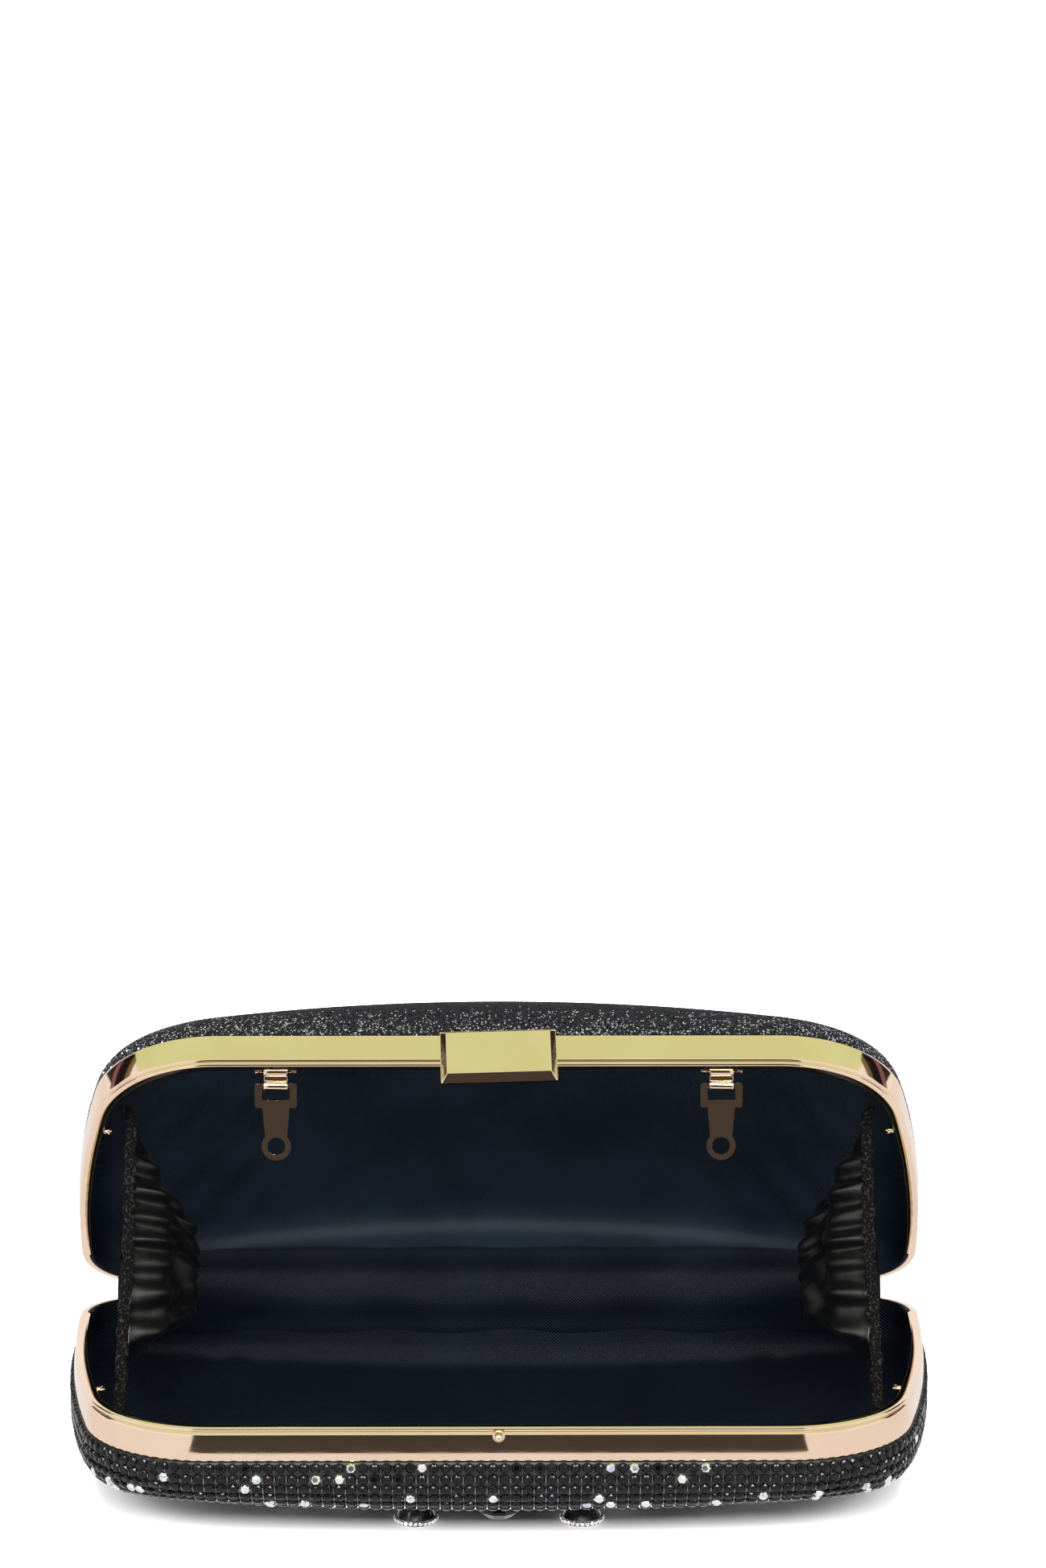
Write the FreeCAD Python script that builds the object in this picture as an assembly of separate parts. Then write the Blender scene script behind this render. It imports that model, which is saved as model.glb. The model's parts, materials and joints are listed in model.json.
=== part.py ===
"""Hard-case clutch purse, lying open on its crystal-covered front.

Two moulded half shells sit in polished metal frames that hinge along the bottom of the purse. The front
half carries a crystal mesh with raised stones, which it rests on; the back half is covered with glitter
fabric and carries the push clasp and two chain tabs. Satin gussets with an elastic edge join the halves
at each side and set how far they open.

Each half is drawn closed, in its own coordinates: x along the hinge, v from the hinge axis towards the
opening edge, d from the plane where the frames meet, into that half. front_half() and back_half() place
the shapes in the row frame. All sizes are in millimetres.
"""
import FreeCAD, Part

import math
import os

Vector = FreeCAD.Vector

# --- Driving dimensions -------------------------------------------------------------------------------
CASE_WIDTH = 200.0          # over the frames, at the widest place
CASE_HEIGHT = 102.0         # hinge axis to the opening edge
HINGE_OFFSET = 3.0          # hinge axis to the frames' bottom rail
OPENING_CORNER_R = 30.0     # corners beside the clasp
HINGE_CORNER_R = 14.0       # corners beside the hinge
SIDE_R = 280.0              # gentle bow of the two short sides
WIDEST_V = 8.0              # height at which the case is widest
OPEN_ANGLE = 45.1           # between the halves, as they lie

BAND_WIDTH = 7.5            # polished band round each half
SHEET = 0.8                 # frame metal thickness
LIP_WIDTH = 3.2             # flange that meets the other frame
LIP_ROLL = 3.4              # depth of the flange's rolled inner edge
MEETING_GAP = 0.15          # each frame's flange stays this far from the meeting plane
BARE_CORNER_V = 19.0        # the rolled edge is left out between here and the hinge

SHELL_INSET = 0.9           # outline to the shell's outer face
SHELL_WALL = 1.4
CROWN_V = 52.0              # height of the crown's top, halfway up each shell
CROWN_R_V = 150.0           # crown radius across the case
FRONT_CROWN = {"depth": 25.5, "r_x": 1000.0, "edge_r": 8.0}
BACK_CROWN = {"depth": 26.0, "r_x": 480.0, "edge_r": 9.5}
                            # depth: meeting plane to the crown's top; r_x: crown radius along the case;
                            # edge_r: rounding between side wall and crown
SHELL_START = 1.1           # depth at which the shell's wall starts

CRYSTAL_THICK = 1.6         # crystal mesh on the front shell
GLITTER_THICK = 0.9         # glitter fabric on the back shell
LINING_GAP = 0.15
LINING_THICK = 0.5
LINING_START = 3.9

REST_DEPTH = 28.8           # meeting plane to the stones that the purse lies on

HINGE_X = 52.0              # middle of each hinge
HINGE_LENGTH = 24.0
KNUCKLE_LENGTH = 8.0
KNUCKLE_R = 1.5
PIN_R = 0.75
PIN_CLEARANCE = 0.05
LEAF_THICK = 0.7
SIDE_GAP = 0.1              # between neighbouring knuckles

STUD_DEPTH = 1.9            # meeting plane to the catch stud
STUD_BALL_R = 1.0

CLASP_WIDTH = 24.4
CLASP_TOP = 7.3             # clasp plate, depth range in the back half's coordinates
CLASP_BOTTOM = -5.6
CLASP_FACE_V = CASE_HEIGHT + 4.0
CLASP_BEVEL = 1.3
CLASP_SKIN = 0.8
CLASP_PIVOT_V = CASE_HEIGHT + 1.7
CLASP_PIVOT_D = 4.3
CLASP_PIN_R = 0.5

TAB_X = 49.0                # chain tabs, from the middle of the purse
TAB_PIVOT_V = CASE_HEIGHT - 4.7
TAB_PIVOT_D = 1.2
TAB_WIDTH = 9.2
TAB_SHOULDER = 5.5
TAB_RING_R = 3.2
TAB_HOLE_R = 2.0
TAB_RING_DROP = 13.6        # tab pivot to the ring's centre
TAB_THICK = 0.8
TAB_BAR = 1.1
LINK_PITCH = 3.2
LINK_WIDTH = 5.2
LOOP_OUTER_R = 1.2
LOOP_INNER_R = 0.75

GUSSET_REACH = 72.0         # hinge axis to the gusset's free edge
GUSSET_NEAR = 14.0          # hinge axis to the gusset's inner end
GUSSET_EDGE_ANGLE = 1.6     # gusset to each meeting plane
GUSSET_THICK = 0.7
ELASTIC_WIDTH = 2.4
ELASTIC_THICK = 0.9

OUT = "parts"


# --- Outline and basic solids -------------------------------------------------------------------------
def outline_points(offset):
    """Corner and arc points of the case outline moved outwards by offset, for x >= 0, from the opening
    edge to the hinge: a list of (start, middle, end) arcs, then the x of the two straight edges."""
    side_centre = (CASE_WIDTH / 2 - SIDE_R, WIDEST_V)

    def corner(radius, v):
        dv = v - side_centre[1]
        return (side_centre[0] + math.sqrt((SIDE_R - radius) ** 2 - dv * dv), v)

    def polar(centre, radius, angle):
        return (centre[0] + radius * math.cos(angle), centre[1] + radius * math.sin(angle))

    top = corner(OPENING_CORNER_R, CASE_HEIGHT - OPENING_CORNER_R)
    low = corner(HINGE_CORNER_R, HINGE_OFFSET + HINGE_CORNER_R)
    a_top = math.atan2(top[1] - side_centre[1], top[0] - side_centre[0])
    a_low = math.atan2(low[1] - side_centre[1], low[0] - side_centre[0])
    arcs = []
    for centre, radius, a, b in (
        (top, OPENING_CORNER_R, math.pi / 2, a_top),
        (side_centre, SIDE_R, a_top, a_low),
        (low, HINGE_CORNER_R, a_low, -math.pi / 2),
    ):
        r = radius + offset
        arcs.append([polar(centre, r, t) for t in (a, (a + b) / 2, b)])
    return arcs


def outline_wire(offset, depth):
    """The closed outline in the half's own coordinates, at that depth."""
    arcs = outline_points(offset)
    edges = []
    for side in (1, -1):
        for arc in arcs:
            edges.append(Part.Arc(*[Vector(side * x, v, depth) for x, v in arc]).toShape())
    for arc, k in ((arcs[0], 0), (arcs[2], 2)):
        x, v = arc[k]
        edges.append(Part.LineSegment(Vector(-x, v, depth), Vector(x, v, depth)).toShape())
    return Part.Wire(Part.__sortEdges__(edges))


def prism(offset, low, high):
    """The outline, moved by offset, as a solid between two depths."""
    return Part.Face(outline_wire(offset, low)).extrude(Vector(0, 0, high - low))


def box(x, v, d):
    """A box from three (low, high) ranges."""
    corner = Vector(x[0], v[0], d[0])
    return Part.makeBox(x[1] - x[0], v[1] - v[0], d[1] - d[0], corner)


def rod(radius, x_range, v, d):
    """A round bar along x."""
    return Part.makeCylinder(radius, x_range[1] - x_range[0], Vector(x_range[0], v, d), Vector(1, 0, 0))


def peg(radius, x, d, v_range):
    """A round bar along v."""
    return Part.makeCylinder(radius, v_range[1] - v_range[0], Vector(x, v_range[0], d), Vector(0, 1, 0))


def crowned(crown, inset):
    """The solid inside a surface that lies inset within the shell's outer face, from the meeting plane
    to the crown: a prism cut to a barrel-shaped crown, with a rounded edge."""
    barrel = Part.makeTorus(crown["r_x"] - CROWN_R_V, CROWN_R_V - inset,
                            Vector(0, CROWN_V, crown["depth"] - crown["r_x"]), Vector(0, 1, 0))
    block = prism(-SHELL_INSET - inset, 0, crown["depth"] + 3.0).common(barrel).Solids[0]
    edges = [e for f in block.Faces if isinstance(f.Surface, Part.Toroid) for e in f.Edges]
    return block.makeFillet(crown["edge_r"] - inset, edges)


def skin(crown, outer_inset, thick, start):
    """A shell wall of that thickness, open at its start depth."""
    below = box((-CASE_WIDTH, CASE_WIDTH), (-5, CASE_HEIGHT + 5), (-1, start))
    return crowned(crown, outer_inset).cut(crowned(crown, outer_inset + thick)).cut(below)


def crown_depth(crown, x, v, inset=0.0):
    """Depth of the crown's surface over a point."""
    ring = crown["r_x"] - CROWN_R_V
    across = math.sqrt((CROWN_R_V - inset) ** 2 - (v - CROWN_V) ** 2)
    return crown["depth"] - crown["r_x"] + math.sqrt((ring + across) ** 2 - x * x)


def half_width(v, offset=0.0):
    """Half the width of the outline on the bowed side, at v."""
    r = SIDE_R + offset
    return CASE_WIDTH / 2 - SIDE_R + math.sqrt(r * r - (v - WIDEST_V) ** 2)


# --- Pieces that both halves have ---------------------------------------------------------------------
def frame():
    """Polished band with a flange that is rolled back along its inner edge. Near the hinge the rolled
    edge is left out, where the lining folds over the flange."""
    g = MEETING_GAP
    outer = prism(0, g, BAND_WIDTH)
    edges = [e for e in outer.Edges if abs(e.BoundBox.ZMax - g) < 1e-3]
    outer = outer.makeFillet(0.6, edges)
    ring = outer.cut(prism(-SHEET, g + SHEET, BAND_WIDTH + 1)).cut(prism(-LIP_WIDTH, -1, BAND_WIDTH + 1))
    roll = prism(-LIP_WIDTH + SHEET, g, LIP_ROLL).cut(prism(-LIP_WIDTH, -1, BAND_WIDTH))
    bare = prism(-LIP_WIDTH + SHEET, -1, BAND_WIDTH).common(
        box((-CASE_WIDTH, CASE_WIDTH), (-5, BARE_CORNER_V), (-1, BAND_WIDTH + 1)))
    return ring.fuse(roll).cut(bare).removeSplitter()


def shell(crown):
    return skin(crown, 0.0, SHELL_WALL, SHELL_START)


def cover(crown, thick):
    """Facing over the shell, from the band's edge outwards."""
    return skin(crown, -thick, thick - 0.05, BAND_WIDTH + 0.15)


def lining(crown):
    return skin(crown, SHELL_WALL + LINING_GAP, LINING_THICK, LINING_START)


def gusset_clips():
    """Small waisted beads at the frame's inner edge, to which the ends of the gussets' elastic are tied."""
    beads = []
    for side in (-1, 1):
        x = half_width(GUSSET_REACH, -LIP_WIDTH) - 0.25
        post = Part.makeCylinder(0.6, 1.0, Vector(side * x, GUSSET_REACH, 1.3), Vector(-side, 0, 0))
        head = Part.makeCone(0.6, 0.95, 0.5, Vector(side * (x - 0.8), GUSSET_REACH, 1.3), Vector(-side, 0, 0))
        tip = Part.makeCone(0.95, 0.5, 0.5, Vector(side * (x - 1.3), GUSSET_REACH, 1.3), Vector(-side, 0, 0))
        beads.append(post.fuse([head, tip]).removeSplitter())
    return Part.makeCompound(beads)


def hinge_leaves(middle):
    """Leaf plates on the bottom rail with their knuckles: the middle one, or the two outer ones."""
    leaves = []
    hole_r = PIN_R if middle else PIN_R + PIN_CLEARANCE
    third = KNUCKLE_LENGTH / 2
    spans = [(-third + SIDE_GAP, third - SIDE_GAP)]
    if not middle:
        end = HINGE_LENGTH / 2
        spans = [(-end, -third - SIDE_GAP), (third + SIDE_GAP, end)]
    for x in (-HINGE_X, HINGE_X):
        plate_v = (HINGE_OFFSET - LEAF_THICK, HINGE_OFFSET)
        leaf = box((x - HINGE_LENGTH / 2, x + HINGE_LENGTH / 2), plate_v, (1.9, BAND_WIDTH - 1.0))
        for low, high in spans:
            span = (x + low, x + high)
            leaf = leaf.fuse(rod(KNUCKLE_R, span, 0, 0))
            leaf = leaf.fuse(box(span, (0, HINGE_OFFSET), (KNUCKLE_R - LEAF_THICK, KNUCKLE_R)))
            leaf = leaf.fuse(box(span, plate_v, (KNUCKLE_R - LEAF_THICK, 2.5)))
            leaf = leaf.cut(rod(hole_r, (span[0] - 1, span[1] + 1), 0, 0))
        leaves.append(leaf.removeSplitter())
    return Part.makeCompound(leaves)


def leaf_rivets():
    """Two flat-headed rivets on each leaf plate."""
    rivets = []
    for x in (-HINGE_X, HINGE_X):
        for dx in (-8.0, 8.0):
            head = peg(1.1, x + dx, 4.2, (HINGE_OFFSET - LEAF_THICK - 0.45, HINGE_OFFSET - LEAF_THICK))
            rivets.append(head)
    return Part.makeCompound(rivets)


# --- Front half ---------------------------------------------------------------------------------------
MEDALLIONS = ((18.3, 79.5), (18.3, 30.0), (43.0, 54.0))   # round settings, each also at -x
OVALS = ((0.0, 75.0, 5.5, 7.0), (0.0, 34.5, 5.5, 7.0), (21.0, 54.5, 7.0, 5.0), (-21.0, 54.5, 7.0, 5.0))
MEDALLION_R = 4.6


def medallion_settings():
    """Round raised settings: a cone that widens to a flat disc."""
    found = []
    for x, v in MEDALLIONS:
        for side in (-1, 1):
            low = crown_depth(FRONT_CROWN, x, v) + 0.5
            top = REST_DEPTH if abs(v - CROWN_V) > 5 else REST_DEPTH - 0.3
            cone = Part.makeCone(1.9, MEDALLION_R - 0.3, top - 1.3 - low, Vector(side * x, v, low), Vector(0, 0, 1))
            disc = Part.makeCylinder(MEDALLION_R, 1.3, Vector(side * x, v, top - 1.3), Vector(0, 0, 1))
            disc = disc.makeFillet(0.35, disc.Edges[0:1])
            setting = cone.fuse(disc).cut(crowned(FRONT_CROWN, -CRYSTAL_THICK - 0.05))
            found.append(setting.removeSplitter())
    return Part.makeCompound(found)


def oval_stones():
    """Large faceted oval stones with a flat table."""
    found = []
    for x, v, rx, rv in OVALS:
        top = REST_DEPTH if x == 0 else REST_DEPTH - 0.3
        low = crown_depth(FRONT_CROWN, x, v) - 2.0
        steps = ((0.86, low), (1.0, top - 2.4), (0.97, top - 1.7), (0.62, top))
        rings = [stone_ring(x, v, rx * k, rv * k, d) for k, d in steps]
        stone = Part.makeLoft(rings, True, True)
        found.append(stone.cut(crowned(FRONT_CROWN, -CRYSTAL_THICK - 0.05)))
    return Part.makeCompound(found)


def stone_ring(x, v, rx, rv, d, sides=12):
    points = []
    for k in range(sides + 1):
        t = 2 * math.pi * (k % sides + 0.5) / sides
        points.append(Vector(x + rx * math.cos(t), v + rv * math.sin(t), d))
    return Part.makePolygon(points)


def catch_stud():
    """Ball on a short neck with a collar, on the opening edge of the front frame."""
    v = CASE_HEIGHT
    collar = peg(1.3, 0, STUD_DEPTH, (v, v + 0.25))
    neck = peg(0.65, 0, STUD_DEPTH, (v, v + 0.8))
    ball = Part.makeSphere(STUD_BALL_R, Vector(0, v + 1.0, STUD_DEPTH))
    cut = box((-3, 3), (v - 3, v), (STUD_DEPTH - 3, STUD_DEPTH + 3))
    return collar.fuse([neck, ball]).cut(cut).removeSplitter()


def hinge_pins():
    return Part.makeCompound([
        rod(PIN_R, (x - HINGE_LENGTH / 2 - 0.4, x + HINGE_LENGTH / 2 + 0.4), 0, 0) for x in (-HINGE_X, HINGE_X)])


# --- Clasp, on the back half --------------------------------------------------------------------------
def clasp_plate():
    """Bevelled cover plate, hollow behind, with two lugs on the pivot pin."""
    half = CLASP_WIDTH / 2
    base_v = CLASP_FACE_V - CLASP_BEVEL - 0.5

    def rectangle(inset, v):
        corners = [(-half + inset, CLASP_BOTTOM + inset), (half - inset, CLASP_BOTTOM + inset),
                   (half - inset, CLASP_TOP - inset), (-half + inset, CLASP_TOP - inset)]
        return Part.makePolygon([Vector(x, v, d) for x, d in corners + corners[:1]])

    edge = box((-half, half), (base_v, base_v + 0.5), (CLASP_BOTTOM, CLASP_TOP))
    bevel = Part.makeLoft([rectangle(0, base_v + 0.5), rectangle(CLASP_BEVEL, CLASP_FACE_V)], True, True)
    inset = CLASP_BEVEL
    hollow = box((-half + inset, half - inset), (base_v - 1, CLASP_FACE_V - CLASP_SKIN),
                 (CLASP_BOTTOM + inset, CLASP_TOP - inset))
    plate = edge.fuse(bevel).cut(hollow)
    for side in (-1, 1):
        x = sorted((side * 8.4, side * 9.4))
        lug = box(x, (CLASP_PIVOT_V, CLASP_FACE_V - CLASP_SKIN), (CLASP_PIVOT_D - 1.0, CLASP_PIVOT_D + 1.0))
        lug = lug.fuse(rod(1.0, x, CLASP_PIVOT_V, CLASP_PIVOT_D))
        plate = plate.fuse(lug.cut(rod(CLASP_PIN_R + PIN_CLEARANCE, (x[0] - 1, x[1] + 1),
                                       CLASP_PIVOT_V, CLASP_PIVOT_D)))
    return plate.removeSplitter()


def catch_fork():
    """Spring strip under the plate that ends in a slot for the stud's ball."""
    inner_v = CLASP_FACE_V - CLASP_SKIN
    slot_half = STUD_BALL_R + 0.12
    fork_v = (CASE_HEIGHT + 0.4, CASE_HEIGHT + 0.85)
    pad = box((-3.0, 3.0), (inner_v - 0.45, inner_v), (0.8, CLASP_TOP - 1.6))
    drop = box((-3.0, 3.0), (fork_v[0], inner_v), (0.8, 1.25))
    end = -STUD_DEPTH - 2.0
    fork = box((-3.0, 3.0), fork_v, (end, 1.25))
    slot = peg(slot_half, 0, -STUD_DEPTH, (fork_v[0] - 1, fork_v[1] + 1))
    slot = slot.fuse(box((-slot_half, slot_half), (fork_v[0] - 1, fork_v[1] + 1), (end - 1, -STUD_DEPTH)))
    return pad.fuse([drop, fork]).cut(slot).removeSplitter()


def clasp_bracket():
    """Base plate on the back frame's opening edge with two ears for the pivot pin."""
    v = CASE_HEIGHT
    base = box((-8.2, 8.2), (v, v + 0.5), (2.4, BAND_WIDTH - 0.5))
    for side in (-1, 1):
        x = sorted((side * 7.3, side * 8.2))
        ear = box(x, (v, CLASP_PIVOT_V), (CLASP_PIVOT_D - 0.95, CLASP_PIVOT_D + 0.95))
        base = base.fuse([ear, rod(0.95, x, CLASP_PIVOT_V, CLASP_PIVOT_D)])
        base = base.cut(rod(CLASP_PIN_R, (x[0] - 1, x[1] + 1), CLASP_PIVOT_V, CLASP_PIVOT_D))
    return base.removeSplitter()


def clasp_rivets():
    v = CASE_HEIGHT + 0.5
    return Part.makeCompound([peg(0.9, x, 5.9, (v, v + 0.35)) for x in (-4.6, 4.6)])


def clasp_pin():
    return rod(CLASP_PIN_R, (-9.9, 9.9), CLASP_PIVOT_V, CLASP_PIVOT_D)


def clasp_spring():
    """Torsion spring: closed turns round the pin, drawn as touching rings, with a leg on the bracket."""
    wire = 0.16
    ring_r = CLASP_PIN_R + 0.1 + wire
    turns = [Part.makeTorus(ring_r, wire, Vector(4.2 + 0.3 * k, CLASP_PIVOT_V, CLASP_PIVOT_D), Vector(1, 0, 0))
             for k in range(7)]
    leg = Part.makeCylinder(wire, 2.6, Vector(4.2, CLASP_PIVOT_V - ring_r, CLASP_PIVOT_D), Vector(0, 0, -1))
    return turns[0].fuse(turns[1:] + [leg]).removeSplitter()


# --- Chain tabs, on the back half ---------------------------------------------------------------------
def chain_bracket(x):
    """Plate with a window, on two feet against the frame's rolled edge. Its lower bar carries the link."""
    plate_v = (TAB_PIVOT_V - 0.4, TAB_PIVOT_V + 0.4)
    bar_d = (TAB_PIVOT_D - 0.55, TAB_PIVOT_D + 0.55)
    plate = box((x - TAB_WIDTH / 2, x + TAB_WIDTH / 2), plate_v, (bar_d[0], bar_d[0] + 3.9))
    window = box((x - 3.0, x + 3.0), (plate_v[0] - 1, plate_v[1] + 1), (bar_d[1], bar_d[1] + 2.0))
    feet = [box(sorted((x + s * 3.4, x + s * TAB_WIDTH / 2)), (plate_v[1], CASE_HEIGHT - LIP_WIDTH),
                (0.9, LIP_ROLL)) for s in (-1, 1)]
    return plate.cut(window).fuse(feet).removeSplitter()


def chain_link(x):
    """Folded strip: a loop round the bracket's bar and a loop round the tab's bar, one under the other."""
    span = (x - LINK_WIDTH / 2, x + LINK_WIDTH / 2)
    longer = (span[0] - 1, span[1] + 1)
    body = rod(LOOP_OUTER_R, span, 0, 0).fuse([
        rod(LOOP_OUTER_R, span, 0, -LINK_PITCH), box(span, (-0.45, 0.45), (-LINK_PITCH, 0))])
    return body.cut(rod(LOOP_INNER_R, longer, 0, 0)).cut(rod(LOOP_INNER_R, longer, 0, -LINK_PITCH)).removeSplitter()


def chain_tab(x):
    """Flat tab: shoulders with a window, a tapered neck and a ring for the chain's hook."""
    half_thick = TAB_THICK / 2
    top = TAB_BAR / 2
    shoulder_low = top - TAB_SHOULDER
    shoulders = box((x - TAB_WIDTH / 2, x + TAB_WIDTH / 2), (-half_thick, half_thick), (shoulder_low, top))
    neck_points = [(-3.05, shoulder_low + 0.5), (3.05, shoulder_low + 0.5), (2.35, -TAB_RING_DROP + 1.4),
                   (-2.35, -TAB_RING_DROP + 1.4)]
    polygon = Part.makePolygon([Vector(x + a, -half_thick, b) for a, b in neck_points + neck_points[:1]])
    neck = Part.Face(polygon).extrude(Vector(0, TAB_THICK, 0))
    ring = peg(TAB_RING_R, x, -TAB_RING_DROP, (-half_thick, half_thick))
    window = box((x - 3.05, x + 3.05), (-1, 1), (-TAB_BAR / 2 - 2.7, -TAB_BAR / 2))
    hole = peg(TAB_HOLE_R, x, -TAB_RING_DROP, (-1, 1))
    tab = shoulders.fuse([neck, ring]).removeSplitter().cut(window)
    corners = [e for e in tab.Edges if abs(e.Length - TAB_THICK) < 1e-4 and
               abs(abs(e.BoundBox.Center.x - x) - TAB_WIDTH / 2) < 1e-3]
    return tab.makeFillet(0.5, corners).cut(hole)


# --- Soft pieces between the halves -------------------------------------------------------------------
def swept(points, low, high):
    """A closed profile of (x, v) points turned about the hinge axis, between two angles from the front."""
    polygon = Part.makePolygon([Vector(x, -v, 0) for x, v in points + points[:1]])
    shape = Part.Face(polygon).revolve(Vector(0, 0, 0), Vector(-1, 0, 0), high - low)
    shape.rotate(Vector(0, 0, 0), Vector(-1, 0, 0), low)
    return shape


def gusset(side):
    """Satin panel at one side, from near the hinge to just behind the elastic, as a plain thin wall."""
    near = (half_width(GUSSET_NEAR, -LIP_WIDTH) - 3.0, GUSSET_NEAR)
    far = (half_width(GUSSET_REACH, -LIP_WIDTH) - 8.0, GUSSET_REACH - 3.5)
    low = math.radians(GUSSET_EDGE_ANGLE)
    high = math.radians(OPEN_ANGLE - GUSSET_EDGE_ANGLE)
    corners = [(near, low), (far, low), (far, high), (near, high), (near, low)]
    points = [Vector(side * x, -v * math.cos(a), v * math.sin(a)) for (x, v), a in corners]
    return Part.Face(Part.makePolygon(points)).extrude(Vector(-side * GUSSET_THICK, 0, 0))


def gusset_elastic(side):
    """Elastic along the gusset's free edge, straight from one frame's clip to the other's."""
    x = half_width(GUSSET_REACH, -LIP_WIDTH) - 6.3
    half = math.radians(OPEN_ANGLE / 2)
    length = 2 * GUSSET_REACH * math.sin(half) - 4.0
    middle = GUSSET_REACH * math.cos(half)
    band = box((-ELASTIC_THICK / 2, ELASTIC_THICK / 2), (-ELASTIC_WIDTH / 2, ELASTIC_WIDTH / 2),
               (-length / 2, length / 2))
    band.translate(Vector(side * x, -middle, 0))
    band.rotate(Vector(0, 0, 0), Vector(-1, 0, 0), OPEN_ANGLE / 2)
    return band


def hinge_lining():
    """Lining strip that bridges the two halves over the hinge, inside the purse."""
    half = half_width(20.0, -LIP_WIDTH) - 10.0
    inner = 7.7
    points = [(-half, inner), (half, inner), (half, inner + LINING_THICK), (-half, inner + LINING_THICK)]
    return swept(points, -30.0, OPEN_ANGLE + 30.0)


# --- Placing ------------------------------------------------------------------------------------------
def front_half(shape):
    """From the half's own coordinates to the purse lying on its front, with the hinge on the X axis."""
    placed = shape.copy()
    placed.rotate(Vector(0, 0, 0), Vector(1, 0, 0), 180)
    return placed


def back_half(shape):
    """The same for the back half, mirrored to the other side and opened."""
    placed = shape.mirror(Vector(0, 0, 0), Vector(0, 1, 0))
    placed.rotate(Vector(0, 0, 0), Vector(-1, 0, 0), OPEN_ANGLE)
    return placed


def open_point(v, d):
    """Place, in the purse's frame, of a point of the back half: (y, z)."""
    a = math.radians(OPEN_ANGLE)
    return (-v * math.cos(a) + d * math.sin(a), v * math.sin(a) + d * math.cos(a))


def hanging(shape, drop=0.0):
    """A link or tab drawn about its pivot, hung plumb from the chain bracket."""
    y, z = open_point(TAB_PIVOT_V, TAB_PIVOT_D)
    placed = shape.copy()
    placed.translate(Vector(0, y, z - drop))
    return placed


def build():
    parts = {
        "front_frame": front_half(frame()),
        "front_shell": front_half(shell(FRONT_CROWN)),
        "front_crystal_cover": front_half(cover(FRONT_CROWN, CRYSTAL_THICK)),
        "front_lining": front_half(lining(FRONT_CROWN)),
        "front_medallions": front_half(medallion_settings()),
        "front_oval_stones": front_half(oval_stones()),
        "front_gusset_clips": front_half(gusset_clips()),
        "front_hinge_leaves": front_half(hinge_leaves(True)),
        "front_leaf_rivets": front_half(leaf_rivets()),
        "hinge_pins": front_half(hinge_pins()),
        "catch_stud": front_half(catch_stud()),
        "back_frame": back_half(frame()),
        "back_shell": back_half(shell(BACK_CROWN)),
        "back_glitter_cover": back_half(cover(BACK_CROWN, GLITTER_THICK)),
        "back_lining": back_half(lining(BACK_CROWN)),
        "back_gusset_clips": back_half(gusset_clips()),
        "back_hinge_leaves": back_half(hinge_leaves(False)),
        "back_leaf_rivets": back_half(leaf_rivets()),
        "clasp_plate": back_half(clasp_plate()),
        "catch_fork": back_half(catch_fork()),
        "clasp_bracket": back_half(clasp_bracket()),
        "clasp_rivets": back_half(clasp_rivets()),
        "clasp_pin": back_half(clasp_pin()),
        "clasp_spring": back_half(clasp_spring()),
        "hinge_lining": hinge_lining(),
    }
    for name, side in (("left", -1), ("right", 1)):
        x = side * TAB_X
        parts["chain_bracket_" + name] = back_half(chain_bracket(x))
        parts["chain_link_" + name] = hanging(chain_link(x))
        parts["chain_tab_" + name] = hanging(chain_tab(x), LINK_PITCH)
        parts["gusset_" + name] = gusset(side)
        parts["gusset_elastic_" + name] = gusset_elastic(side)
    return parts


def main():
    os.makedirs(OUT, exist_ok=True)
    parts = build()
    whole = FreeCAD.BoundBox()
    for shape in parts.values():
        whole.add(shape.optimalBoundingBox(False, False))
    shift = Vector(0, -(whole.YMin + whole.YMax) / 2, REST_DEPTH)
    for name, shape in parts.items():
        shape.translate(shift)
        if not shape.isValid():
            print("not valid:", name)
        shape.exportStep(os.path.join(OUT, name + ".step"))
    print("hinge axis at y %.4f z %.4f" % (shift.y, shift.z))
    y, z = open_point(TAB_PIVOT_V, TAB_PIVOT_D)
    print("link pivot at y %.4f z %.4f" % (y + shift.y, z + shift.z))
    y, z = open_point(CLASP_PIVOT_V, CLASP_PIVOT_D)
    print("clasp pivot at y %.4f z %.4f" % (y + shift.y, z + shift.z))
    print("bounds", whole)


main()
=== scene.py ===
"""Open clutch purse lying on its crystal-covered front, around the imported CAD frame.

Shapes are worked out in each half's own coordinates, in millimetres: x along the hinge, v from the hinge
axis towards the opening edge, d from the meeting plane into that half. world() turns them into the row
frame, in metres.
"""
import json
import math

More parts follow.
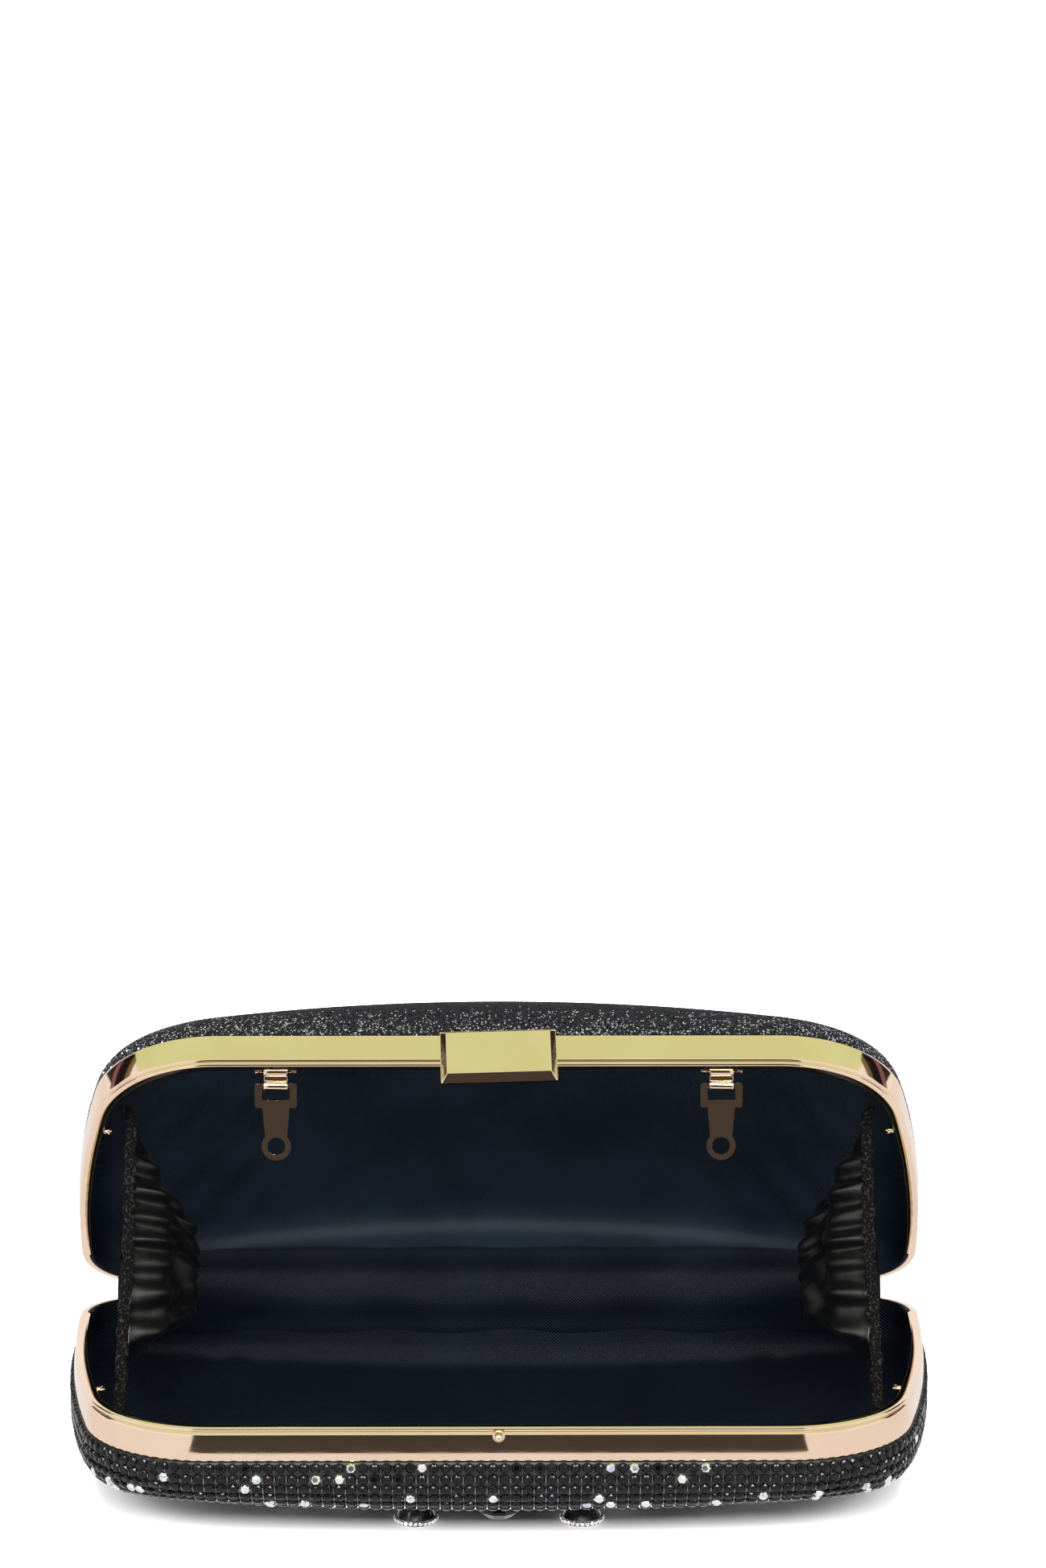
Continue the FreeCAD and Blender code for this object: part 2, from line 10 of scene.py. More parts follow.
import bmesh
import bpy
import numpy as np
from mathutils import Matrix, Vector

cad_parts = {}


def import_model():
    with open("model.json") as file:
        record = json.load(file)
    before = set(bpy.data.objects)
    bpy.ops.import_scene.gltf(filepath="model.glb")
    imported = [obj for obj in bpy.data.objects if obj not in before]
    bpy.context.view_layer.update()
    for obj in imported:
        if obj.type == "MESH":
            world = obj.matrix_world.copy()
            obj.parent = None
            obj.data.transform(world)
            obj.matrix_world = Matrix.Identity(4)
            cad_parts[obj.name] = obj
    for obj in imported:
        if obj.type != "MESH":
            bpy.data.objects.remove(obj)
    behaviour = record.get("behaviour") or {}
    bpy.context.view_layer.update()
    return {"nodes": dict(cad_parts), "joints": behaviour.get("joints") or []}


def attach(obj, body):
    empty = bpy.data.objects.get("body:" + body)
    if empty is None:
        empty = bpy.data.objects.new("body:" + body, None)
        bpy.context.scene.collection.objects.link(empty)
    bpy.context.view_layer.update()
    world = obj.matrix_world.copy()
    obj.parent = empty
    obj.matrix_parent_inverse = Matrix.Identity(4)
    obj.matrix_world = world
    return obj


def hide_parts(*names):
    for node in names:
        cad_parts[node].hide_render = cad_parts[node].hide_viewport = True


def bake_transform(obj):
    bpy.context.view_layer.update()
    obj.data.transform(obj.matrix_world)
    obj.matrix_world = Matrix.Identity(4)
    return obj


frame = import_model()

MM = 0.001
rng = np.random.default_rng(7)

# --- The purse's own dimensions, in millimetres -------------------------------------------------------
W, H, V0 = 200.0, 102.0, 3.0         # width, hinge axis to opening edge, hinge axis to bottom rail
R_TOP, R_LOW = 30.0, 14.0            # corners beside the clasp and beside the hinge
R_SIDE, V_WIDE = 280.0, 8.0          # bow of the short sides, and the height where they are widest
OPEN = math.radians(45.1)            # angle between the halves
BAND = 7.5                           # polished band round each half
BARE_V = 19.0                        # the flange has no rolled edge below this height
FRONT = {"depth": 25.5, "r_x": 1000.0, "edge_r": 8.0}
BACK = {"depth": 26.0, "r_x": 480.0, "edge_r": 9.5}
CROWN_V, CROWN_R_V = 52.0, 150.0     # the crowns' top, and their radius across the case
SHELL_INSET = 0.9                    # outline to a shell's outer face
COVER_START = 7.65                   # depth at which the coverings start, just past the band
PITCH, STONE_R = 2.5, 1.19           # small stones: spacing and radius
FIRST_ROW, ROW_RISE = 1.25, 2.5 * 0.985
DISCS = ((18.3, 79.5, 28.12), (18.3, 30.0, 28.12), (43.0, 54.0, 27.82))  # x, v, depth of the rim stones
GUSSET_V = (71.6, 8.6)               # gusset's free edge and inner end, from the hinge axis
GUSSET_X = (83.5, 91.1)              # the same two, from the middle of the purse
HINGE = next(j for j in frame["joints"] if j["name"] == "lid_hinge")["pos_m"]


# --- Coordinates --------------------------------------------------------------------------------------
def half_yz(half, v, d):
    """(y, z) in mm from the hinge axis of points of one half."""
    v, d = np.broadcast_arrays(np.asarray(v, float), np.asarray(d, float))
    if half == "front":
        return np.stack([-v, -d], -1)
    return np.stack([-v * math.cos(OPEN) + d * math.sin(OPEN), v * math.sin(OPEN) + d * math.cos(OPEN)], -1)


def from_hinge(x, y, z):
    """Points in mm from the hinge axis, to the row frame, in m."""
    return np.stack([x * MM, HINGE[1] + y * MM, HINGE[2] + z * MM], -1)


def world(half, pts):
    """Points (x, v, d) of one half, in mm, to the row frame, in m."""
    p = np.asarray(pts, float)
    yz = half_yz(half, p[..., 1], p[..., 2])
    return from_hinge(p[..., 0], yz[..., 0], yz[..., 1])


def unit(v):
    return v / np.maximum(np.linalg.norm(v, axis=-1, keepdims=True), 1e-12)


def smooth(a, b, x):
    t = np.clip((np.asarray(x, float) - a) / (b - a), 0, 1)
    return t * t * (3 - 2 * t)


class Outline:
    """The case outline, as a closed loop by length: from the middle of the hinge edge, over +x, the
    opening edge and back over -x."""

    def __init__(self):
        side = (W / 2 - R_SIDE, V_WIDE)

        def centre(r, v):
            return (side[0] + math.sqrt((R_SIDE - r) ** 2 - (v - side[1]) ** 2), v)

        top, low = centre(R_TOP, H - R_TOP), centre(R_LOW, V0 + R_LOW)
        a_top = math.atan2(top[1] - side[1], top[0] - side[0])
        a_low = math.atan2(low[1] - side[1], low[0] - side[0])
        self.segments = [
            ("line", (0, V0), (low[0], V0), (0, -1)),
            ("arc", low, R_LOW, -math.pi / 2, a_low),
            ("arc", side, R_SIDE, a_low, a_top),
            ("arc", top, R_TOP, a_top, math.pi / 2),
            ("line", (top[0], H), (0, H), (0, 1)),
        ]
        self.lengths = [self._length(s) for s in self.segments]
        self.half = sum(self.lengths)
        self.total = 2 * self.half

    @staticmethod
    def _length(s):
        return math.dist(s[1], s[2]) if s[0] == "line" else s[2] * abs(s[4] - s[3])

    def at(self, s):
        """(points, outward normals) at lengths s round the loop."""
        s = np.mod(np.asarray(s, float), self.total)
        mirrored = s > self.half
        q = np.where(mirrored, self.total - s, s)
        pts, nrm = np.zeros(q.shape + (2,)), np.zeros(q.shape + (2,))
        start = 0.0
        for seg, length in zip(self.segments, self.lengths):
            here = (q >= start - 1e-9) & (q <= start + length + 1e-9)
            t = (q[here] - start) / length
            if seg[0] == "line":
                a, b = np.array(seg[1], float), np.array(seg[2], float)
                pts[here] = a + t[:, None] * (b - a)
                nrm[here] = seg[3]
            else:
                ang = seg[3] + t * (seg[4] - seg[3])
                n = np.stack([np.cos(ang), np.sin(ang)], -1)
                pts[here] = np.array(seg[1], float) + n * seg[2]
                nrm[here] = n
            start += length
        pts[..., 0] = np.where(mirrored, -pts[..., 0], pts[..., 0])
        nrm[..., 0] = np.where(mirrored, -nrm[..., 0], nrm[..., 0])
        return pts, nrm

    def loop(self, step):
        """Lengths round the loop at about that spacing."""
        n = 4 * round(self.total / step / 4)
        return np.arange(n) * self.total / n


EDGE = Outline()


def crown(c, x, v, inset=0.0):
    """Depth of a shell's crown over (x, v)."""
    across = np.sqrt((CROWN_R_V - inset) ** 2 - (v - CROWN_V) ** 2)
    return c["depth"] - c["r_x"] + np.sqrt((c["r_x"] - CROWN_R_V + across) ** 2 - x * x)


class Shell:
    """A surface parallel to a shell: straight wall, rolled edge, crown."""

    def __init__(self, c, inset, start):
        self.c, self.inset, self.start = c, inset, start
        self.r = c["edge_r"] - inset
        self.off = -SHELL_INSET - inset

    def column(self, s):
        """What the profile needs at lengths s round the outline."""
        p, n = EDGE.at(s)
        q = p + n * (self.off - self.r)
        c_q = crown(self.c, q[..., 0], q[..., 1], self.inset)
        out = q + n
        slope = np.arctan(np.maximum(c_q - crown(self.c, out[..., 0], out[..., 1], self.inset), 0.0))
        d_c = c_q - self.r / np.cos(slope)
        b0 = np.arcsin(np.clip((self.start - d_c) / self.r, 0, 0.99))
        wall = np.maximum(d_c - self.start, 0)
        arc = self.r * (math.pi / 2 - slope - b0)
        return p, n, d_c, b0, wall, arc

    def point(self, s, run):
        """Points at length s round the outline and length run up the profile."""
        p, n, d_c, b0, wall, arc = self.column(s)
        over = np.clip(run - wall, 0, arc)
        b = b0 + over / self.r
        on_wall = run < wall
        t = np.where(on_wall, 0, self.r - self.r * np.cos(b))
        d = np.where(on_wall, self.start + run, d_c + self.r * np.sin(b))
        xy = p + n * (self.off - t)[..., None]
        past = np.maximum(run - wall - arc, 0)[..., None]
        xy = xy - n * past
        on_crown = past[..., 0] > 0
        d = np.where(on_crown, crown(self.c, xy[..., 0], xy[..., 1], self.inset), d)
        return np.concatenate([xy, d[..., None]], -1)

    def rings(self, step, rows, crown_rows):
        """Closed rings from the start depth to the middle of the crown."""
        s = EDGE.loop(step)
        wall, arc = self.column(s)[4:6]
        out = [self.point(s, (wall + arc) * k / rows) for k in range(rows + 1)]
        last = out[-1]
        spine = np.stack([np.clip(last[:, 0] * 0.8, -55, 55), np.full(len(s), CROWN_V)], -1)
        for k in range(1, crown_rows + 1):
            f = k / crown_rows
            xy = last[:, :2] * (1 - f) + spine * f
            out.append(np.concatenate([xy, crown(self.c, xy[:, 0], xy[:, 1], self.inset)[:, None]], -1))
        return out


# --- Mesh helpers -------------------------------------------------------------------------------------
def mesh_object(name, verts, faces, sharp=None, merge=None):
    """A mesh object from world points; faces are smooth, or sharp over that angle in degrees."""
    mesh = bpy.data.meshes.new(name)
    mesh.from_pydata([tuple(v) for v in np.asarray(verts).reshape(-1, 3)], [], [tuple(f) for f in faces])
    if merge:
        bm = bmesh.new()
        bm.from_mesh(mesh)
        bmesh.ops.remove_doubles(bm, verts=bm.verts, dist=merge)
        bmesh.ops.recalc_face_normals(bm, faces=bm.faces)
        bm.to_mesh(mesh)
        bm.free()
    mesh.shade_smooth()
    if sharp is not None:
        mesh.set_sharp_from_angle(angle=math.radians(sharp))
    mesh.update()
    obj = bpy.data.objects.new(name, mesh)
    bpy.context.scene.collection.objects.link(obj)
    return obj


def grid_faces(rows, cols, closed=False, base=0):
    """Quads of a grid with that many rows and columns of points."""
    faces = []
    for r in range(rows - 1):
        for c in range(cols if closed else cols - 1):
            c2 = (c + 1) % cols
            a = base + r * cols
            faces.append((a + c, a + c2, a + cols + c2, a + cols + c))
    return faces


def sweep(half, s, profile):
    """World points of a profile [(offset, depth), ...] carried along outline lengths s: (rows, cols, 3)."""
    p, n = EDGE.at(s)
    rows = []
    for off, depth in profile:
        xy = p + n * off
        rows.append(world(half, np.concatenate([xy, np.full((len(s), 1), depth)], -1)))
    return np.array(rows)


def join_parts(parts):
    """(verts, faces) of several (verts, faces)."""
    verts, faces, base = [], [], 0
    for v, f in parts:
        v = np.asarray(v).reshape(-1, 3)
        verts.append(v)
        faces += [tuple(i + base for i in face) for face in f]
        base += len(v)
    return np.concatenate(verts), faces


def solidify(obj, mm, offset=-1.0):
    mod = obj.modifiers.new("thick", "SOLIDIFY")
    mod.thickness = mm * MM
    mod.offset = offset
    bake_modifiers(obj)
    return obj


def bake_modifiers(obj):
    dg = bpy.context.evaluated_depsgraph_get()
    new = bpy.data.meshes.new_from_object(obj.evaluated_get(dg))
    obj.modifiers.clear()
    obj.data = new


# --- Materials ----------------------------------------------------------------------------------------
class Mat:
    """A node material with object coordinates at hand."""

    def __init__(self, name, **values):
        self.mat = bpy.data.materials.new(name)
        self.mat.use_nodes = True
        self.nodes, self.links = self.mat.node_tree.nodes, self.mat.node_tree.links
        self.bsdf = self.nodes["Principled BSDF"]
        for key, value in values.items():
            self.bsdf.inputs[key.replace("_", " ")].default_value = value
        self.coord = self.nodes.new("ShaderNodeTexCoord").outputs["Object"]

    def node(self, kind, links=None, **settings):
        n = self.nodes.new(kind)
        for key, value in settings.items():
            if key in n.inputs.keys():
                n.inputs[key].default_value = value
            else:
                setattr(n, key, value)
        for key, value in (links or {}).items():
            self.links.new(value, n.inputs[key])
        return n

    def scaled(self, x, y, z, rotation=(0, 0, 0)):
        n = self.node("ShaderNodeMapping", {"Vector": self.coord})
        n.inputs["Scale"].default_value = (x, y, z)
        n.inputs["Rotation"].default_value = rotation
        return n.outputs["Vector"]

    def noise(self, scale, detail=3.0, vector=None, rough=0.5):
        n = self.node("ShaderNodeTexNoise", {"Vector": vector or self.coord})
        n.inputs["Scale"].default_value = scale
        n.inputs["Detail"].default_value = detail
        n.inputs["Roughness"].default_value = rough
        return n.outputs["Fac"]

    def ramp(self, fac, *stops):
        """Colour ramp; each stop is (position, value or colour)."""
        n = self.node("ShaderNodeValToRGB", {"Fac": fac})
        while len(n.color_ramp.elements) < len(stops):
            n.color_ramp.elements.new(0.5)
        for e, (pos, col) in zip(n.color_ramp.elements, stops):
            e.position = pos
            e.color = (col, col, col, 1) if isinstance(col, (int, float)) else (*col, 1)
        return n.outputs["Color"]

    def range(self, fac, low, high, f0=0.0, f1=1.0):
        n = self.node("ShaderNodeMapRange", {"Value": fac})
        for key, value in (("From Min", f0), ("From Max", f1), ("To Min", low), ("To Max", high)):
            n.inputs[key].default_value = value
        return n.outputs["Result"]

    def math(self, op, a, b=None):
        n = self.node("ShaderNodeMath", operation=op)
        for k, value in enumerate((a, b)):
            if value is None:
                continue
            if isinstance(value, (int, float)):
                n.inputs[k].default_value = value
            else:
                self.links.new(value, n.inputs[k])
        return n.outputs[0]

    def bump(self, height, strength, distance):
        n = self.node("ShaderNodeBump", {"Height": height})
        n.inputs["Strength"].default_value = strength
        n.inputs["Distance"].default_value = distance
        self.links.new(n.outputs["Normal"], self.bsdf.inputs["Normal"])
        return n

    def to(self, socket, name):
        self.links.new(socket, self.bsdf.inputs[name])


def gold_material(name, light, dark, rough=0.12):
    m = Mat(name, Metallic=1.0)
    cloud = m.noise(60.0, 2.0)
    m.to(m.ramp(cloud, (0.3, dark), (0.7, light)), "Base Color")
    scratch = m.noise(900.0, 4.0, m.scaled(0.15, 1.0, 1.0))
    m.to(m.range(scratch, rough * 0.7, rough * 1.6, 0.3, 0.75), "Roughness")
    m.bump(m.noise(90.0, 2.0), 0.02, 0.0002)
    return m.mat


TWILL = 0.00078                      # spacing of the twill's ridges, in m


def satin_material(name, base, sheen, twill=True, rough=0.42, shine=0.10, weave_depth=1.0):
    """Dark satin; the twill runs as a chevron from the middle of the purse."""
    m = Mat(name, Specular_IOR_Level=shine, Sheen_Weight=sheen, Sheen_Roughness=0.35,
            Sheen_Tint=(0.5, 0.58, 0.75, 1))
    cloud = m.noise(45.0, 3.0)
    tone = m.ramp(cloud, (0.25, tuple(c * 0.75 for c in base)), (0.8, tuple(c * 1.5 for c in base)))
    if twill:
        split = m.node("ShaderNodeSeparateXYZ", {"Vector": m.coord}).outputs
        across = m.math("ABSOLUTE", split["X"])
        along = m.math("ADD", split["Z"], m.math("MULTIPLY", split["Y"], 0.6))
        line = m.math("SINE", m.math("MULTIPLY", m.math("ADD", across, along), 2 * math.pi / TWILL))
        weave = m.math("MULTIPLY", line, m.range(m.noise(1400.0, 2.0), 0.55, 1.0))
        mix = m.node("ShaderNodeMix", data_type="RGBA", blend_type="MULTIPLY")
        mix.inputs["Factor"].default_value = 1.0
        tone = m.ramp(cloud, (0.25, tuple(c * 1.4 for c in base)), (0.8, tuple(c * 2.8 for c in base)))
        m.links.new(tone, mix.inputs["A"])
        shade = m.ramp(m.range(weave, 0, 1, -1, 1), (0.25, 1 - 0.75 * weave_depth), (0.85, 1.0))
        m.links.new(shade, mix.inputs["B"])
        tone = mix.outputs["Result"]
        m.bump(weave, 0.6 * weave_depth, 0.00015)
        m.to(m.range(weave, rough * 0.9, rough * 1.15, -1, 1), "Roughness")
    else:
        fine = m.noise(4200.0, 4.0, rough=0.7)
        m.bump(fine, 0.35, 0.0002)
        m.to(m.range(fine, rough * 0.85, rough * 1.2), "Roughness")
    m.to(tone, "Base Color")
    return m.mat


def crepe_material():
    m = Mat("elastic_crepe", Specular_IOR_Level=0.06, Sheen_Weight=0.01, Sheen_Roughness=0.4)
    cells = m.node("ShaderNodeTexVoronoi", {"Vector": m.coord}, feature="F1")
    cells.inputs["Scale"].default_value = 1900.0
    noise = m.noise(1500.0, 3.0)
    grain = m.math("MULTIPLY", cells.outputs["Distance"], noise)
    m.to(m.ramp(grain, (0.14, (0.0003, 0.0003, 0.0003)), (0.30, (0.0022, 0.002, 0.002)),
                (0.46, (0.018, 0.0165, 0.0155))), "Base Color")
    m.to(m.range(noise, 0.55, 0.85), "Roughness")
    m.bump(grain, 1.0, 0.0006)
    return m.mat


# Painted light: bright flakes stand thickest near the band, as if lit there. Where they start to thin out and
# where few are left, along the back half's depth axis, in m.
BACK_DEPTH_AXIS = (0.0, math.sin(OPEN), math.cos(OPEN))
PAINTED_LIGHT_NEAR = (HINGE[1] * math.sin(OPEN) + HINGE[2] * math.cos(OPEN)) + 0.0095
PAINTED_LIGHT_FAR = PAINTED_LIGHT_NEAR + 0.0060
FLAKE_TILT = 1.2


def glitter_material():
    """Black fabric with bright flakes that each face their own way; painted light puts most of them near the
    band and thins them out away from it.
    """
    m = Mat("glitter_fabric", Specular_IOR_Level=0.12)
    flakes = m.node("ShaderNodeTexVoronoi", {"Vector": m.coord}, feature="F1")
    flakes.inputs["Scale"].default_value = 3600.0
    parts = m.node("ShaderNodeSeparateColor", {"Color": flakes.outputs["Color"]}).outputs
    fine = m.noise(4200.0, 2.0)
    across = m.node("ShaderNodeVectorMath", {0: m.coord}, operation="DOT_PRODUCT")
    across.inputs[1].default_value = BACK_DEPTH_AXIS
    # painted light: the flakes grow rarer away from the band
    painted_light_rarity = m.range(across.outputs["Value"], 0.86, 0.999, PAINTED_LIGHT_NEAR, PAINTED_LIGHT_FAR)
    flake = m.math("GREATER_THAN", parts["Red"], painted_light_rarity)
    colour = m.node("ShaderNodeMix", {"Factor": flake}, data_type="RGBA")
    ground = m.ramp(fine, (0.35, (0.001, 0.001, 0.0016)), (0.75, (0.012, 0.012, 0.017)))
    m.links.new(ground, colour.inputs["A"])
    colour.inputs["B"].default_value = (0.86, 0.77, 1.0, 1)
    m.to(colour.outputs["Result"], "Base Color")
    m.to(flake, "Metallic")
    m.to(m.range(flake, 0.75, 0.22), "Roughness")
    tilt = m.node("ShaderNodeVectorMath", operation="MULTIPLY_ADD")
    m.links.new(flakes.outputs["Color"], tilt.inputs[0])
    tilt.inputs[1].default_value = (2 * FLAKE_TILT,) * 3
    tilt.inputs[2].default_value = (-FLAKE_TILT,) * 3
    geo = m.node("ShaderNodeNewGeometry").outputs["Normal"]
    add = m.node("ShaderNodeVectorMath", operation="ADD")
    m.links.new(tilt.outputs[0], add.inputs[0])
    m.links.new(geo, add.inputs[1])
    facing = m.node("ShaderNodeVectorMath", {0: add.outputs[0]}, operation="NORMALIZE")
    m.links.new(facing.outputs[0], m.bsdf.inputs["Normal"])
    return m.mat


def stone_material(name, low, high, rough=0.05, coat=0.5, metal=0.0):
    m = Mat(name, Specular_IOR_Level=0.28, Coat_Weight=coat, Coat_Roughness=0.04, Metallic=metal)
    cell = m.node("ShaderNodeTexVoronoi", {"Vector": m.coord}, feature="F1")
    cell.inputs["Scale"].default_value = 400.0
    tone = m.node("ShaderNodeSeparateColor", {"Color": cell.outputs["Color"]}).outputs["Red"]
    m.to(m.ramp(tone, (0.0, low), (1.0, high)), "Base Color")
    m.to(m.range(m.noise(700.0, 2.0), rough, rough * 2.5), "Roughness")
    return m.mat


def opal_material():
    """Clear stones with a rainbow coating."""
    m = Mat("clear_stone", Metallic=1.0)
    tone = m.noise(520.0, 1.0)
    m.to(m.ramp(tone, (0.25, (0.55, 0.72, 0.80)), (0.42, (0.92, 0.93, 0.95)), (0.56, (0.95, 0.86, 0.80)),
                (0.72, (0.62, 0.60, 0.85))), "Base Color")
    m.to(m.range(m.noise(1500.0, 2.0), 0.08, 0.25), "Roughness")
    return m.mat


def board_material(name, low, high, rough):
    m = Mat(name, Specular_IOR_Level=0.4)
    n = m.noise(900.0, 4.0)
    m.to(m.ramp(n, (0.3, low), (0.75, high)), "Base Color")
    m.to(m.range(n, rough * 0.85, min(rough * 1.2, 1.0)), "Roughness")
    m.bump(n, 0.15, 0.0001)
    return m.mat


ROSE = gold_material("rose_gold", (0.90, 0.70, 0.54), (0.86, 0.65, 0.48), 0.07)
LINING = satin_material("satin_twill", (0.0023, 0.0036, 0.0060), 0.01)
# Painted light: the back half's satin is a lighter copy of the lining with a fainter weave, standing in for
# light that the lamps don't bring into the lid.
LINING_PAINTED_LIT = satin_material("satin_twill_lid_painted_light", (0.0034, 0.0054, 0.0082), 0.01, shine=0.06,
                             weave_depth=0.28)
GUSSET = satin_material("gusset_satin", (0.0009, 0.0008, 0.0009), 0.01, twill=False, rough=0.34,
                        shine=0.5)
CREPE = crepe_material()
GLITTER = glitter_material()
JET = stone_material("jet_stone", (0.0006, 0.0006, 0.0008), (0.0022, 0.0022, 0.003), 0.06, 0.0)
OPAL = opal_material()
MESH_BASE = board_material("mesh_base", (0.0015, 0.0015, 0.0018), (0.007, 0.007, 0.008), 0.45)
BOARD = board_material("moulded_shell", (0.008, 0.008, 0.009), (0.02, 0.02, 0.022), 0.6)
SILVER = stone_material("dark_setting", (0.10, 0.10, 0.11), (0.30, 0.30, 0.32), 0.12, 0.3, 1.0)
STEEL = gold_material("spring_steel", (0.6, 0.6, 0.6), (0.5, 0.5, 0.5), 0.2)


def paint(obj, mat):
    obj.data.materials.clear()
    obj.data.materials.append(mat)


def dress(obj, mat, body=None, node=None):
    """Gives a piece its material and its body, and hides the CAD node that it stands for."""
    paint(obj, mat)
    if body:
        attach(obj, body)
    if node:
        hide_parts(node)


# --- Camera, floor and light --------------------------------------------------------------------------
def camera():
    """The photo's camera: above the front, turned up and aside so that the purse sits low in the frame."""
    dist, elevation, pitch, yaw = 0.85778, math.radians(16.483), math.radians(8.2), math.radians(0.299)
    cam = bpy.data.objects.new("camera", bpy.data.cameras.new("camera"))
    bpy.context.scene.collection.objects.link(cam)
    cam.location = (0.00141, HINGE[1] - dist * math.cos(elevation), HINGE[2] + dist * math.sin(elevation))
    up = pitch - elevation
    look = Vector((math.sin(yaw) * math.cos(up), math.cos(yaw) * math.cos(up), math.sin(up)))
    cam.rotation_euler = look.to_track_quat("-Z", "Y").to_euler()
    cam.data.sensor_fit = "AUTO"
    cam.data.sensor_width = 36.0
    cam.data.lens = 80.64
    cam.data.clip_start, cam.data.clip_end = 0.01, 20.0
    bpy.context.scene.camera = cam


def area_light(name, place, target, size, power, glossy=False):
    """A soft light, seen by reflections only where glossy."""
    data = bpy.data.lights.new(name, "AREA")
    data.shape = "RECTANGLE"
    data.size, data.size_y = size
    data.energy = power
    light = bpy.data.objects.new(name, data)
    light.location = place
    light.rotation_euler = (Vector(target) - Vector(place)).to_track_quat("-Z", "Y").to_euler()
    light.visible_glossy = glossy
    bpy.context.scene.collection.objects.link(light)
    return light


def card(name, corners, colour, strength):
    """A studio card that only mirror reflections see."""
    obj = mesh_object(name, corners, [tuple(range(len(corners)))])
    m = Mat(name, Roughness=1.0, Specular_IOR_Level=0.0)
    m.bsdf.inputs["Emission Strength"].default_value = strength
    tone = m.ramp(m.noise(0.8, 1.0), (0.3, tuple(c * 0.9 for c in colour)), (0.7, colour))
    m.to(tone, "Emission Color")
    m.bsdf.inputs["Base Color"].default_value = (0, 0, 0, 1)
    paint(obj, m.mat)
    obj.visible_camera = obj.visible_diffuse = obj.visible_shadow = obj.visible_transmission = False


def stage():
    """A pale floor that curves up behind the purse, soft lights, and cards for the metal to mirror."""
    xs = np.linspace(-4.0, 4.0, 9)
    profile = [(-4.5, 0.0), (0.9, 0.0)]
    profile += [(0.9 + 0.6 * math.sin(t), 0.6 - 0.6 * math.cos(t)) for t in np.linspace(0.1, math.pi / 2, 12)]
    profile += [(1.5, 3.0)]
    pts = np.array([[(x, y, z) for x in xs] for y, z in profile])
    floor = mesh_object("floor", pts, grid_faces(len(profile), len(xs)))
    m = Mat("pale_floor", Specular_IOR_Level=0.0)
    n = m.noise(30.0, 2.0)
    m.to(m.ramp(n, (0.3, 0.92), (0.7, 0.94)), "Base Color")
    m.to(m.range(n, 0.8, 0.9), "Roughness")
    # Painted light: the floor glows, not at all within 0.25 m of the purse and up to 0.45 at 1.2 m, so it
    # shows white far off and stays darker round the purse.
    m.bsdf.inputs["Emission Color"].default_value = (1, 1, 1, 1)
    away = m.node("ShaderNodeVectorMath", {0: m.coord}, operation="LENGTH").outputs["Value"]
    m.to(m.range(away, 0.0, 0.45, 0.25, 1.2), "Emission Strength")
    paint(floor, m.mat)
    floor.visible_glossy = False
    ground = [(-3, -3, -0.001), (3, -3, -0.001), (3, 3, -0.001), (-3, 3, -0.001)]
    card("floor_card", ground, (0.97, 0.95, 0.95), 1.0)
    ceiling = [(-2.2, -1.7, 1.0), (2.2, -1.7, 1.0), (2.2, 1.4, 1.0), (-2.2, 1.4, 1.0)]
    card("ceiling_card", ceiling, (0.80, 0.93, 0.52), 1.0)
    near, far, dark = -0.175, -1.4, (0.068, 0.058, 0.050)
    fan = [(-0.115, near, 0.0015), (0.115, near, 0.0015), (0.52, far, 0.0015), (-0.52, far, 0.0015)]
    card("front_floor_flag", fan, dark, 1.0)
    upright = [(-0.52, far, 0.0), (0.52, far, 0.0), (0.52, far, 0.55), (-0.52, far, 0.55)]
    card("front_flag", upright, dark, 1.0)
    near_end, far_end = np.array([0.86, 0.12]), np.array([0.60, 0.52])
    tones = ((0.0, 0.16, (0.20, 0.16, 0.08)), (0.16, 0.45, (0.012, 0.010, 0.010)),
             (0.45, 0.60, (0.26, 0.13, 0.17)), (0.60, 1.0, (0.035, 0.027, 0.022)))
    for side, hand in ((-1, "left"), (1, "right")):
        for k, (u0, u1, tone) in enumerate(tones):
            (px, py), (qx, qy) = near_end + (far_end - near_end) * u0, near_end + (far_end - near_end) * u1
            flag = [(side * px, py, 0.13), (side * qx, qy, 0.10), (side * qx, qy, 0.46),
                    (side * px, py, 0.46)]
            card("side_flag_%d_%s" % (k, hand), flag, tone, 1.0)
    scene = bpy.context.scene
    scene.world = bpy.data.worlds.new("studio")
    scene.world.use_nodes = True
    nodes, links = scene.world.node_tree.nodes, scene.world.node_tree.links
    back = nodes["Background"]
    path = nodes.new("ShaderNodeLightPath")
    strength = nodes.new("ShaderNodeMapRange")
    strength.inputs["To Min"].default_value = 1.0
    strength.inputs["To Max"].default_value = 0.3
    links.new(path.outputs["Is Diffuse Ray"], strength.inputs["Value"])
    links.new(strength.outputs["Result"], back.inputs["Strength"])
    back.inputs["Color"].default_value = (1, 1, 1, 1)
    scene.view_settings.view_transform = "Standard"
    area_light("overhead", (0.0, -0.15, 1.2), (0, 0, 0.03), (1.2, 0.9), 22)
    front = area_light("front", (0.0, -1.42, 0.86), (0, 0, 0.02), (1.8, 0.4), 60, glossy=True)
    area_light("left_fill", (-1.1, -0.35, 0.45), (0, 0, 0.03), (0.6, 0.6), 7)
    area_light("right_fill", (1.1, -0.35, 0.45), (0, 0, 0.03), (0.6, 0.6), 7)
    area_light("behind", (0.0, 0.9, 1.3), (0, 0.1, 0.0), (1.6, 0.5), 12)
    area_light("backdrop", (0.0, 0.3, 1.8), (0, 1.5, 0.5), (1.8, 0.6), 25)
    return front


